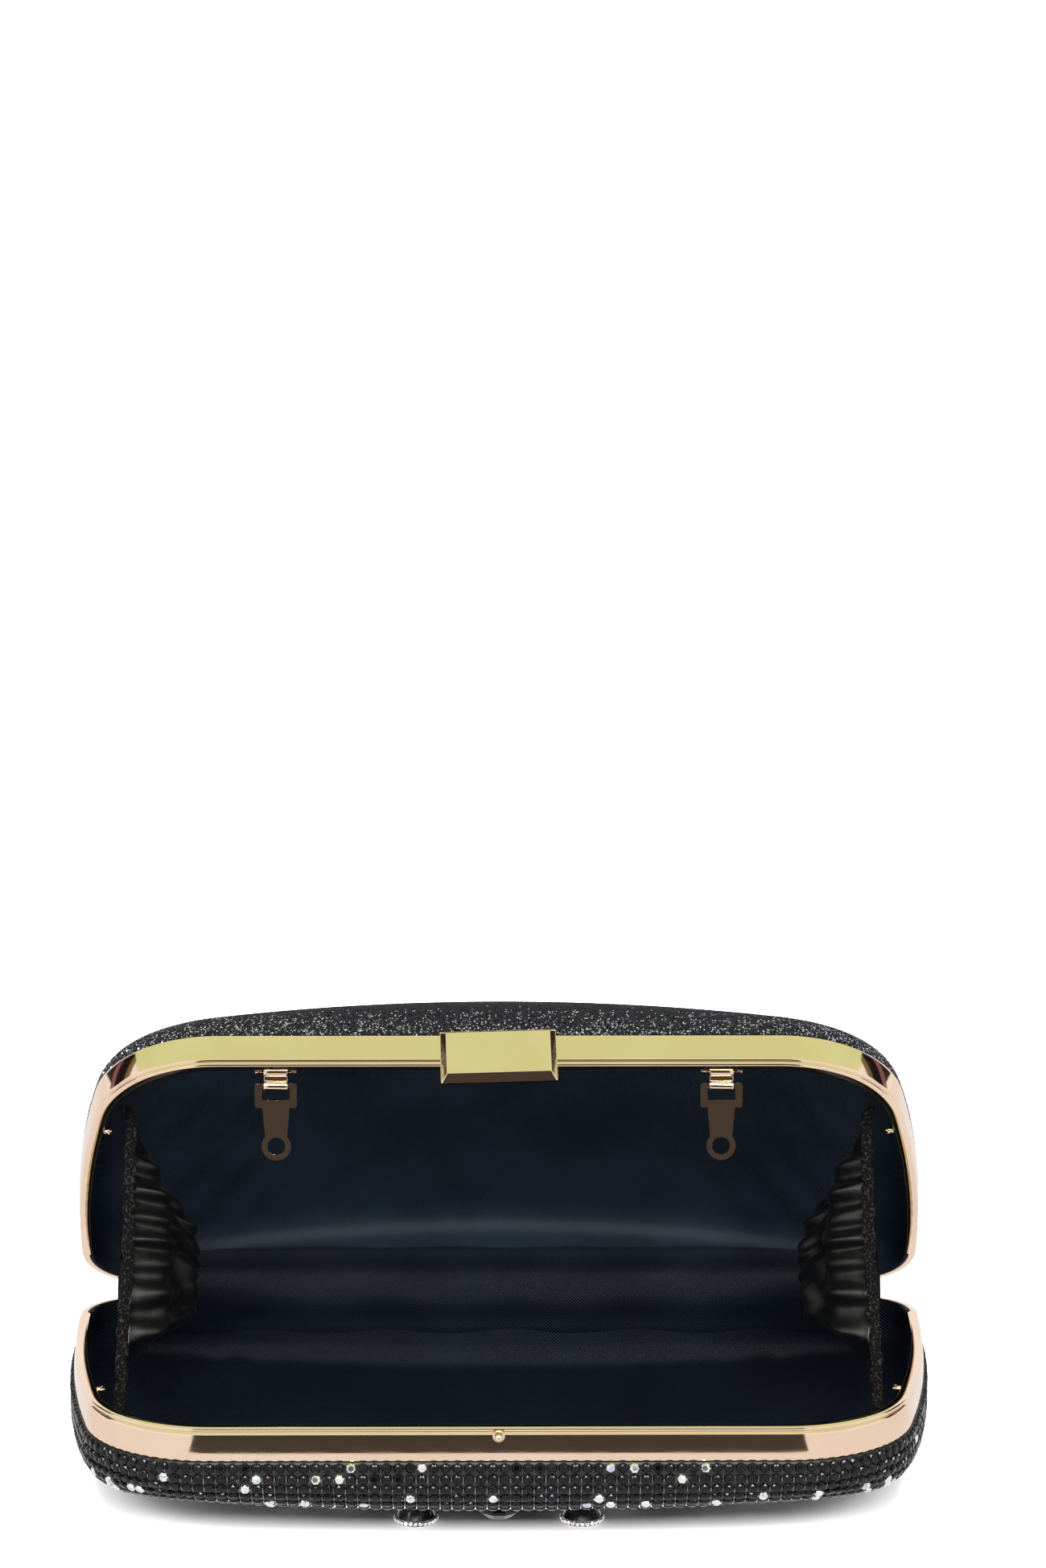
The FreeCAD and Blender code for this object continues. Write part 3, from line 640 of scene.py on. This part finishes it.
def leave_out(light, objects):
    """Keeps a light off the polished bands, so they mirror only the cards."""
    apart = bpy.data.collections.new("polished_bands")
    light.light_linking.receiver_collection = apart
    for obj in objects:
        apart.objects.link(obj)
    for member in apart.collection_objects:
        member.light_linking.link_state = "EXCLUDE"


# --- Frames -------------------------------------------------------------------------------------------
def arc_profile(cx, cd, r, a, b, n):
    """Points of a small arc in a profile: (offset, depth)."""
    turn = np.linspace(math.radians(a), math.radians(b), n)
    return [(cx + r * math.cos(t), cd + r * math.sin(t)) for t in turn]


def frame_mesh(half):
    """Gold band, slightly bowed, with a bead at its lip, its flange, and the flange's rolled inner edge."""
    lean = 1.05 * 0.9
    face = [(-lean * ((BAND - d) / BAND) ** 1.7, d) for d in np.linspace(BAND - 0.12, 1.62, 12)]
    x1 = face[-1][0]
    profile = [(-0.9, BAND), (-0.12, BAND)] + face
    profile += [(x1 - 0.10, 1.52), (x1 - 0.16, 1.44), (x1 - 0.13, 1.34)]
    profile += arc_profile(x1 - 0.66, 0.76, 0.62, 48, -84, 11)
    profile += [(-1.75, 0.132), (-2.1, 0.13), (-2.6, 0.145), (-2.9, 0.2), (-3.05, 0.28), (-3.16, 0.42),
                (-3.2, 0.7), (-3.1, 0.95)]
    profile += [(-2.4, 0.98), (-1.9, 1.0), (-0.95, 1.6), (-0.9, BAND)]
    s = EDGE.loop(1.6)
    pts = sweep(half, s, profile)
    parts = [(pts, grid_faces(len(profile), len(s), closed=True))]
    q = np.linspace(0, EDGE.half, 4000)
    start = q[np.argmax(EDGE.at(q)[0][:, 1] > BARE_V)]
    run = np.linspace(start, EDGE.total - start, 300)
    roll = [(-3.2, 0.6), (-3.24, 1.2), (-3.24, 2.9)] + arc_profile(-2.86, 3.0, 0.38, 180, 0, 7)
    roll += [(-2.48, 2.4), (-2.48, 0.8)]
    pts = sweep(half, run, roll)
    faces = grid_faces(len(roll), len(run))
    n = len(run)
    faces.append([k * n for k in range(len(roll))][::-1])
    faces.append([k * n + n - 1 for k in range(len(roll))])
    parts.append((pts, faces))
    verts, faces = join_parts(parts)
    obj = mesh_object(half + "_frame_metal", verts, faces, merge=1e-6, sharp=50)
    dress(obj, ROSE, half, half + "_frame")
    return obj


def clasp_plate():
    """The plate that is pressed to open: bevelled rim, thin bright edges and a slightly domed face. It sits a
    little askew on its pin."""
    wide, low, top, base = 12.75, -5.9, 7.35, 103.4
    face, centre = 105.96, (low + top) / 2
    rings = [(5.5, 105.25), (1.95, 105.25), (0.85, 104.45), (0.85, base + 0.02), (0.75, base),
             (0.12, base), (0.02, base + 0.1), (0.0, base + 0.62), (0.03, base + 0.74), (0.12, base + 0.80),
             (0.20, base + 0.90), (1.26, 105.74), (1.36, 105.86), (1.46, 105.93), (1.60, face)]
    rings += [(1.60 + f * 4.6, face + 0.10 * (1 - (1 - f) ** 2)) for f in np.arange(1, 7) / 6]
    askew = math.radians(1.8)
    rows = []
    for inset, v in rings:
        hw, hd, r = wide - inset, (top - low) / 2 - inset, max(0.42 - 0.2 * inset, 0.08)
        corners = ((hw - r, hd - r, 0), (r - hw, hd - r, 90), (r - hw, r - hd, 180), (hw - r, r - hd, 270))
        loop = []
        for cx, cy, start in corners:
            turns = [math.radians(start + a) for a in (0, 22, 45, 68, 90)]
            loop += [(cx + r * math.cos(a), cy + r * math.sin(a)) for a in turns]
        rows.append([(x * math.cos(askew) - y * math.sin(askew), v,
                      centre + x * math.sin(askew) + y * math.cos(askew)) for x, y in loop])
    n = len(rows[0])
    faces = grid_faces(len(rows), n, closed=True)
    faces += [list(range((len(rows) - 1) * n, len(rows) * n)), list(range(n))[::-1]]
    obj = mesh_object("clasp_plate_metal", world("back", rows), faces, merge=1e-7, sharp=34)
    dress(obj, ROSE, "clasp", "clasp_plate")
    return obj


# --- Outer coverings ----------------------------------------------------------------------------------
def shell_surface(name, half, c, inset, mat, node):
    """A covering from the band's edge over the crown, with a turned-in hem at the band."""
    sh, step = Shell(c, inset, COVER_START), 2.0
    p, n = EDGE.at(EDGE.loop(step))
    hem = np.concatenate([p + n * (sh.off - 0.8), np.full((len(p), 1), COVER_START)], -1)
    pts = world(half, np.array([hem] + sh.rings(step, 20, 24)))
    obj = mesh_object(name, pts, grid_faces(len(pts), pts.shape[1], closed=True), merge=2e-6)
    dress(obj, mat, half, node)
    return obj


def gem_template(n=8):
    """A flat-backed round stone of radius 1, with n sides: (points, faces)."""
    rings = ((0.90, -0.30, 0.0), (1.0, 0.10, 0.0), (0.80, 0.40, 0.5), (0.54, 0.56, 0.0))
    pts, faces = [], []
    for r, z, turn in rings:
        for k in range(n):
            a = 2 * math.pi * (k + turn) / n
            pts.append((r * math.cos(a), r * math.sin(a), z))
    for k in range(n):
        k2 = (k + 1) % n
        faces.append((k, k2, n + k2, n + k))
        faces.append((n + k, n + k2, 2 * n + k))
        faces.append((n + k2, 2 * n + k2, 2 * n + k))
        faces.append((2 * n + k, 3 * n + k2, 3 * n + k))
        faces.append((2 * n + k, 2 * n + k2, 3 * n + k2))
    faces.append(tuple(range(3 * n, 4 * n)))
    return np.array(pts), faces


GEM = gem_template()


def gems(name, places, normals, tangents, radii, mat, tilt=0.07):
    """Stones at world places, as one mesh with flat facets, each a little askew and turned at random."""
    pts, faces = GEM
    normals = unit(normals + rng.normal(0, tilt, normals.shape))
    tangents = unit(np.cross(normals, np.cross(tangents + rng.normal(0, 0.25, tangents.shape), normals)))
    b = np.cross(normals, tangents)
    turned = (tangents[:, None, :] * pts[None, :, 0:1] + b[:, None, :] * pts[None, :, 1:2]
              + normals[:, None, :] * pts[None, :, 2:3])
    verts = places[:, None, :] + turned * radii[:, None, None]
    all_faces = [tuple(i + k * len(pts) for i in f) for k in range(len(places)) for f in faces]
    obj = mesh_object(name, verts, all_faces)
    obj.data.shade_flat()
    dress(obj, mat, "front")


def stone_rows():
    """The front's stones in rows up the wall and round the rolled edge; the square field on the crown comes
    from crown_field.
    """
    sh = Shell(FRONT, -1.05, COVER_START)
    cols = 4 * round(EDGE.total / PITCH / 4)
    s = (np.arange(cols) + 0.5) * EDGE.total / cols
    wall, arc = sh.column(s)[4:6]
    chance = (0.04, 0.09, 0.02, 0.11, 0.13, 0.05, 0.08, 0.05)
    eps = 0.05
    inside = world("front", np.array([0.0, CROWN_V, 5.0]))
    places, normals, tangents, radii, clear = [], [], [], [], []
    for row in range(8):
        run = np.full(cols, FIRST_ROW + row * ROW_RISE)
        keep = run < wall + arc + 0.6
        p = world("front", sh.point(s, run))
        along = unit(world("front", sh.point(s + eps, run)) - world("front", sh.point(s - eps, run)))
        rise = unit(world("front", sh.point(s, run + eps)) - world("front", sh.point(s, run - eps)))
        left = world("front", sh.point(s - EDGE.total / cols / 2, run))
        right = world("front", sh.point(s + EDGE.total / cols / 2, run))
        gap = np.linalg.norm(right - left, axis=-1)
        nrm = unit(np.cross(rise, along))
        nrm = np.where(((p - inside) * nrm).sum(-1)[:, None] < 0, -nrm, nrm)
        places.append(p[keep])
        normals.append(nrm[keep])
        tangents.append(along[keep])
        radii.append(np.minimum(STONE_R * MM, gap * 0.49)[keep])
        clear.append((rng.random(cols) < chance[row])[keep])
    wall_set = [np.concatenate(x) for x in (places, normals, tangents, radii, clear)]
    return sh, wall_set


def crown_field(sh):
    """The square field of stones, left out under the large settings, as (places, normals, tangents,
    radii, clear)."""
    xs = (np.arange(-40, 40) + 0.5) * PITCH
    vs = CROWN_V + (np.arange(-20, 20) + 0.5) * PITCH
    X, V = [a.ravel() for a in np.meshgrid(xs, vs)]
    loop = EDGE.loop(1.0)
    wall, arc = sh.column(loop)[4:6]
    rim = sh.point(loop, wall + arc + 0.9)[:, :2]
    keep = inside_polygon(X, V, rim)
    X, V = X[keep], V[keep]
    e = 0.05
    P = np.stack([X, V, crown(FRONT, X, V, sh.inset)], -1)
    Px = np.stack([X + e, V, crown(FRONT, X + e, V, sh.inset)], -1)
    Pv = np.stack([X, V + e, crown(FRONT, X, V + e, sh.inset)], -1)
    p, px, pv = world("front", P), world("front", Px), world("front", Pv)
    tx, tv = unit(px - p), unit(pv - p)
    n = unit(np.cross(tx, tv))
    n = np.where(n[:, 2:3] > 0, -n, n)
    hidden = np.zeros(len(X), bool)
    for x, v, r in decor_places():
        hidden |= (X - x) ** 2 + (V - v) ** 2 < r * r
    k = ~hidden
    return p[k], n[k], tx[k], np.full(k.sum(), STONE_R * MM), rng.random(k.sum()) < 0.07


def decor_places():
    """Where the large settings stand: x, v and the radius left free of small stones."""
    found = []
    for x, v, _ in DISCS:
        found += [(x, v, 2.9), (-x, v, 2.9)]
    found += [(0, 75, 6.0), (0, 34.5, 6.0), (21, 54.5, 6.2), (-21, 54.5, 6.2)]
    return found


def inside_polygon(x, y, poly):
    inside = np.zeros(len(x), bool)
    x0, y0 = poly[-1]
    for x1, y1 in poly:
        cross = (y0 > y) != (y1 > y)
        if y1 != y0:
            inside ^= cross & (x < (x1 - x0) * (y - y0) / (y1 - y0) + x0)
        x0, y0 = x1, y1
    return inside


def stones():
    sh, (p, n, t, r, clear) = stone_rows()
    gems("front_stones_wall", p[~clear], n[~clear], t[~clear], r[~clear], JET)
    cp, cn, ct, cr, cclear = crown_field(sh)
    k = ~cclear
    gems("front_stones_crown", cp[k], cn[k], ct[k], cr[k], JET)
    P, N, T, R = [np.concatenate([a[clear], b[cclear]]) for a, b in ((p, cp), (n, cn), (t, ct), (r, cr))]
    gems("front_stones_clear", P + N * 0.15 * MM, N, T, R * 0.98, OPAL, tilt=0.16)
    rims()
    threads(sh)


def rims():
    """Small clear stones round each disc's edge."""
    places, normals = [], []
    for x, v, d in DISCS:
        for sx in (x, -x):
            for a in (np.arange(26) + 0.5) * 2 * math.pi / 26:
                places.append((sx + 4.55 * math.cos(a), v + 4.55 * math.sin(a), d))
                normals.append((math.cos(a), math.sin(a), 0.12))
    p = world("front", places)
    n = unit(world("front", np.array(places) + np.array(normals)) - p)
    t = unit(np.cross(n, np.array([0.3, 0.2, 1.0])))
    gems("front_medallion_stones", p, n, t, np.full(len(p), 0.54 * MM), OPAL, tilt=0.25)


def threads(sh):
    """The mesh's small bright links between the columns of stones."""
    cols = 4 * round(EDGE.total / PITCH / 4)
    s = np.arange(cols) * EDGE.total / cols
    wall, arc = sh.column(s)[4:6]
    high = Shell(FRONT, -1.45, COVER_START)
    w2 = high.column(s)[4:6]
    ratio = (w2[0] + w2[1]) / (wall + arc)
    parts = []
    for row in range(1, 8):
        mid = FIRST_ROW + (row + 0.02) * ROW_RISE
        run = np.clip(mid + rng.normal(0, 0.12, cols), 0, wall + arc)
        long = rng.uniform(0.35, 0.8, cols)
        ends = []
        for k in (-1, 1):
            at = np.clip(run + k * long, 0.2, wall + arc)
            low = world("front", sh.point(s, at))
            left = world("front", high.point(s - 0.10, at * ratio))
            right = world("front", high.point(s + 0.10, at * ratio))
            ends.append(np.stack([low, left, right], 1))
        block = np.concatenate(ends, 1)
        for c in np.nonzero(mid < wall + arc)[0]:
            parts.append((block[c], [(0, 1, 4, 3), (1, 2, 5, 4), (2, 0, 3, 5), (0, 2, 1), (3, 4, 5)]))
    verts, faces = join_parts(parts)
    obj = mesh_object("front_mesh_links", verts, faces)
    obj.data.shade_flat()
    dress(obj, SILVER, "front")


# --- Lining -------------------------------------------------------------------------------------------
# Where the satin stands a little loose off the shell: |x|, v, reach and height, in mm.
LOOSE_PLACES = ((58, 60, 16, 0.9), (75, 50, 11, 0.8), (66, 24, 14, 0.7), (84, 78, 7, 0.6), (30, 90, 22, 0.3))


def lining_cup(half, c):
    """Satin lining of one half: hem at the frame's inner edge, wall, rolled edge and floor."""
    sh = Shell(c, 2.35, 4.2)
    step = 2.0
    s = EDGE.loop(step)
    rings = sh.rings(step, 16, 14)
    p, n = EDGE.at(s)
    bare = (1 - smooth(BARE_V - 0.4, BARE_V + 0.1, p[:, 1]))[:, None]

    def rim(off_near, off_far, depth_near, depth_far):
        off = off_far * (1 - bare) + off_near * bare
        depth = depth_far * (1 - bare) + depth_near * bare
        return np.concatenate([p + n * off, depth], -1)

    hem = [rim(-2.3, -3.3, 0.16, 2.2), rim(-2.5, -3.32, 0.08, 2.4), rim(-3.2, -3.34, 0.06, 2.6),
           rim(-3.45, -3.36, 0.5, 3.0)]
    pts = np.array(hem + rings)
    x, v, d = pts[..., 0], pts[..., 1], pts[..., 2]
    slack = np.zeros_like(d)
    for cx, cv, reach, amp in LOOSE_PLACES:
        dx, dv = np.abs(x) - cx, v - cv
        slack += amp * np.exp(-((dx ** 2 + dv ** 2) / reach ** 2)) * np.cos(dx * 0.5 + dv * 0.35)
    pts[..., 2] = d - np.where(d > 8, slack, 0)
    pts = world(half, pts)
    faces = grid_faces(len(pts), pts.shape[1], closed=True)
    obj = mesh_object(half + "_lining_satin", pts, faces, merge=2e-6)
    # the back half gets the lighter copy of the satin, which is painted light
    dress(obj, LINING if half == "front" else LINING_PAINTED_LIT, half, half + "_lining")
    return obj


def fan_blend(obj):
    """Bakes a piece's placement into its points and works out each point's angle about the hinge axis."""
    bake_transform(obj)
    co = np.array([v.co for v in obj.data.vertices])
    angle = np.arctan2(co[:, 2] - HINGE[2], HINGE[1] - co[:, 1])
    angle = np.where(angle > math.pi / 2 + OPEN, angle - 2 * math.pi, angle)


def hinge_strip():
    """The lining's run from one half into the other, over the hinge."""
    keys = [(-58.0, 11.4), (-46.0, 9.2), (-32.0, 8.0), (-12.0, 7.75), (22.55, 7.75)]
    keys += [(45.1 - a, r) for a, r in keys[-2::-1]]
    ang = np.linspace(-58, 45.1 + 58, 46)
    rad = np.interp(ang, [k[0] for k in keys], [k[1] for k in keys])
    rad = np.convolve(np.pad(rad, 2, mode="edge"), np.ones(5) / 5, mode="valid")
    xs = np.linspace(-91.4, 91.4, 120)
    pts = []
    for a, r in zip(np.radians(ang), rad):
        out = r + 0.18 * np.sin(xs * 0.21 + 1.0) * math.sin(a * 2)
        pts.append(from_hinge(xs, -out * math.cos(a), out * math.sin(a)))
    pts = np.array(pts)
    obj = mesh_object("hinge_lining_satin", pts, grid_faces(len(pts), len(xs)))
    dress(obj, LINING, node="hinge_lining")
    fan_blend(obj)
    return obj


# --- Gussets ------------------------------------------------------------------------------------------
# Folds across the gusset, from the front half (0) to the back (1): their places and heights.
RIDGES = (-0.02, 0.09, 0.235, 0.385, 0.50, 0.58, 0.665, 0.76, 0.865, 0.97, 1.08)
HEIGHTS = (0.3, 0.5, 1.35, 1.1, 0.6, 1.2, 0.7, 1.3, 1.0, 0.6, 0.3)
# How far the satin bulges into the purse: its share between the halves, and mm from the elastic inwards.
ARCH = ((0, 0), (0.07, 0.04), (0.13, 0.32), (0.19, 0.7), (0.26, 0.94), (0.36, 1), (0.64, 1), (0.76, 0.92),
        (0.86, 0.74), (0.94, 0.48), (1, 0.14))
SWELL = ((0, 0), (0.03, 3.0), (0.07, 7.4), (0.12, 10.3), (0.17, 10.6), (0.23, 10.0), (0.30, 12.6),
         (0.38, 16.6), (0.46, 17.6), (0.58, 14.5), (0.75, 8.0), (0.9, 2.5), (1, 0))


def soft_interp(x, table, reach):
    """A table read off smoothly: the mean of readings round each place."""
    keys, values = zip(*table)
    return sum(np.interp(x + reach * k, keys, values) for k in (-1, -0.5, 0, 0.5, 1)) / 5


def gusset_points(side, t, r):
    """Points of the gathered satin at share t from the front half to the back, and r from the elastic
    to the hinge."""
    v = GUSSET_V[0] * (1 - r) + GUSSET_V[1] * r
    edge_depth = 4.3
    f, b = half_yz("front", v, edge_depth), half_yz("back", v, edge_depth)
    yz = f * (1 - t)[..., None] + b * t[..., None]
    edge = GUSSET_X[0] + (GUSSET_X[1] - GUSSET_X[0]) * r
    wander = 0.030 * np.sin(9.0 * r + 5.0 * t) + 0.022 * np.sin(21.0 * r + 9.0 * t + 0.4 * side)
    lean = (t - 0.5) * (1 - 0.25 * smooth(0.1, 0.9, r)) + 0.5 + wander * smooth(0, 0.3, r)
    phase = np.interp(lean, RIDGES, np.arange(len(RIDGES)))
    lobe = (0.5 + 0.5 * np.cos(2 * math.pi * phase)) ** 1.4
    lobe *= np.interp(phase, np.arange(len(RIDGES)), HEIGHTS)
    small = 0.5 + 0.5 * np.cos(2 * math.pi * (2 * phase + 0.35 + 0.2 * np.sin(9 * t + side)))
    amp = np.interp(r, [0, 0.03, 0.07, 0.12, 0.18, 0.3, 0.45, 0.7, 1.0],
                    [0.4, 1.8, 2.3, 1.3, 0.6, 0.6, 0.8, 0.4, 0.05])
    ends = smooth(0.0, 0.06, t) * smooth(0.0, 0.05, 1 - t)
    soft = np.sin(23 * t + 9 * r) * np.sin(31 * r - 5 * t + side)
    soft += 0.6 * np.sin(41 * t - 17 * r + 2) * np.sin(19 * r + 11 * t)
    soft = soft * smooth(0.02, 0.2, r) * smooth(0.0, 0.3, 1 - r)
    puff = (amp * (lobe - 0.55) + 0.5 * np.exp(-r / 0.08) * small + 0.55 * soft) * ends
    arch = soft_interp(t, ARCH, 0.03)
    x = edge - soft_interp(r, SWELL, 0.02) * arch - puff
    slip = 0.5 * puff
    return from_hinge(side * x, yz[..., 0] - slip * 0.5, yz[..., 1] + slip * 0.3)


def cloth(obj, rows, cols, gather, slack, frames, cap):
    """Lets a grid of satin settle as cloth. Its cut is larger than its space: by gather along the columns at
    the first row, easing off, and by slack along the rows. The edges are held, and no point moves more than
    cap, in mm. The piece is size times as large while it settles."""
    size = 20.0
    mesh = obj.data
    start = np.array([v.co for v in mesh.vertices]).reshape(rows, cols, 3)
    step_c = np.linalg.norm(np.diff(start, axis=1), axis=-1).sum(1)
    step_r = np.linalg.norm(np.diff(start, axis=0), axis=-1).mean(1)
    run = np.concatenate([[0], np.cumsum(step_r)]) * slack
    share = np.linspace(-0.5, 0.5, cols)
    grow = 1 + gather * np.exp(-run / run[-1] / 0.35)
    flat = np.zeros_like(start)
    flat[..., 0] = run[:, None]
    flat[..., 1] = share[None, :] * (step_c * grow)[:, None]
    for v, co in zip(mesh.vertices, (start * size).reshape(-1, 3)):
        v.co = co
    obj.shape_key_add(name="Basis")
    cut = obj.shape_key_add(name="cut")
    cut.data.foreach_set("co", (flat * size).ravel())
    cut.value = 0
    held = obj.vertex_groups.new(name="held")
    index = np.arange(rows * cols).reshape(rows, cols)
    edge = np.unique(np.concatenate([index[0], index[-1], index[:, 0], index[:, -1]]))
    held.add([int(i) for i in edge], 1.0, "REPLACE")
    mod = obj.modifiers.new("cloth", "CLOTH")
    cs = mod.settings
    cs.quality = 7
    cs.mass = 0.25
    cs.tension_stiffness = cs.compression_stiffness = 18
    cs.shear_stiffness = 6
    cs.bending_stiffness = 0.25
    cs.air_damping = 3
    cs.vertex_group_mass = "held"
    cs.rest_shape_key = cut
    cs.effector_weights.gravity = 0
    mod.collision_settings.use_collision = False
    mod.collision_settings.use_self_collision = False
    scene = bpy.context.scene
    for frame_no in range(1, frames + 1):
        scene.frame_set(frame_no)
    bake_modifiers(obj)
    scene.frame_set(1)
    end = np.array([v.co for v in obj.data.vertices]).reshape(rows, cols, 3) / size
    move = end - start
    far = np.linalg.norm(move, axis=-1, keepdims=True)
    move *= np.minimum(1, cap * MM / np.maximum(far, 1e-9))
    for v, co in zip(obj.data.vertices, (start + move).reshape(-1, 3)):
        v.co = co
    obj.vertex_groups.clear()
    obj.data.update()


def gusset(side, name):
    """Gathered satin panel at one end of the purse."""
    nt, nr = 150, 70
    r, t = np.meshgrid(np.linspace(0, 1, nr) ** 1.3, np.linspace(0, 1, nt), indexing="ij")
    pts = gusset_points(side, t, r)
    obj = mesh_object("gusset_satin_" + name, pts, grid_faces(nr, nt))
    cloth(obj, nr, nt, gather=0.40, slack=1.05, frames=24, cap=5.0)
    solidify(obj, 0.25, 0.0)
    obj.data.shade_smooth()
    dress(obj, GUSSET, node="gusset_" + name)
    fan_blend(obj)
    return obj


def elastic(side, name):
    """The crepe-covered elastic along the gusset's free edge."""
    n, m = 120, 12
    t = np.linspace(-0.045, 1.045, n)
    a, b = half_yz("front", 72.0, 4.2), half_yz("back", 72.0, 4.4)
    yz = a * (1 - t)[:, None] + b * t[:, None]
    wave = 2 * math.pi * t
    x = 83.9 - 0.9 * smooth(0.1, 0.6, t) + 0.16 * np.sin(9.3 * wave) + 0.10 * np.sin(21 * wave + 1)
    width = 1.28 + 0.10 * np.sin(13.7 * wave + side) + 0.05 * np.sin(31 * wave)
    x = x + 2.2 * smooth(0.0, 0.06, -t) + 2.2 * smooth(0.0, 0.06, t - 1)
    across = unit(np.array([b[1] - a[1], -(b[0] - a[0])]))
    rows = []
    for k in range(m):
        q = 2 * math.pi * k / m
        cx = np.sign(math.cos(q)) * abs(math.cos(q)) ** 0.6 * width
        cy = np.sign(math.sin(q)) * abs(math.sin(q)) ** 0.6 * 0.5
        rows.append(from_hinge(side * x + cx, yz[:, 0] + across[0] * cy, yz[:, 1] + across[1] * cy))
    pts = np.array(rows).transpose(1, 0, 2)
    faces = grid_faces(n, m, closed=True) + [tuple(range(m))[::-1], tuple(range((n - 1) * m, n * m))]
    obj = mesh_object("gusset_edge_" + name, pts, faces)
    dress(obj, CREPE, node="gusset_elastic_" + name)
    fan_blend(obj)
    return obj


# --- Build --------------------------------------------------------------------------------------------
camera()
front_light = stage()
metal = [frame_mesh("front"), frame_mesh("back"), clasp_plate()]
base = shell_surface("front_mesh_base", "front", FRONT, -1.0, MESH_BASE,
                     "front_crystal_cover")
glitter = shell_surface("back_glitter_fabric", "back", BACK, -0.9, GLITTER, "back_glitter_cover")
stones()
for half, c in (("front", FRONT), ("back", BACK)):
    cup = lining_cup(half, c)
strip = hinge_strip()
for side, name in ((-1, "left"), (1, "right")):
    panel = gusset(side, name)
    edge = elastic(side, name)

CAD_LOOKS = {
    "front_shell": BOARD, "back_shell": BOARD, "front_medallions": SILVER, "front_oval_stones": JET,
    "catch_stud": ROSE, "catch_fork": ROSE, "clasp_bracket": ROSE, "clasp_rivets": ROSE,
    "clasp_pin": STEEL, "clasp_spring": STEEL, "hinge_pins": STEEL,
}
BEVELS = {"chain_tab_left": 0.14, "chain_tab_right": 0.14, "chain_link_left": 0.14,
          "chain_link_right": 0.14, "chain_bracket_left": 0.12, "chain_bracket_right": 0.12}
for node, obj in frame["nodes"].items():
    if not obj.hide_render:
        paint(obj, CAD_LOOKS.get(node, ROSE))
    if node in BEVELS:
        obj.modifiers.new("joined", "WELD").merge_threshold = 1e-6
        mod = obj.modifiers.new("worn_edge", "BEVEL")
        mod.harden_normals = True
        mod.width = BEVELS[node] * MM
        mod.segments = 3
        mod.angle_limit = math.radians(40)

leave_out(front_light, metal)
bpy.context.view_layer.update()
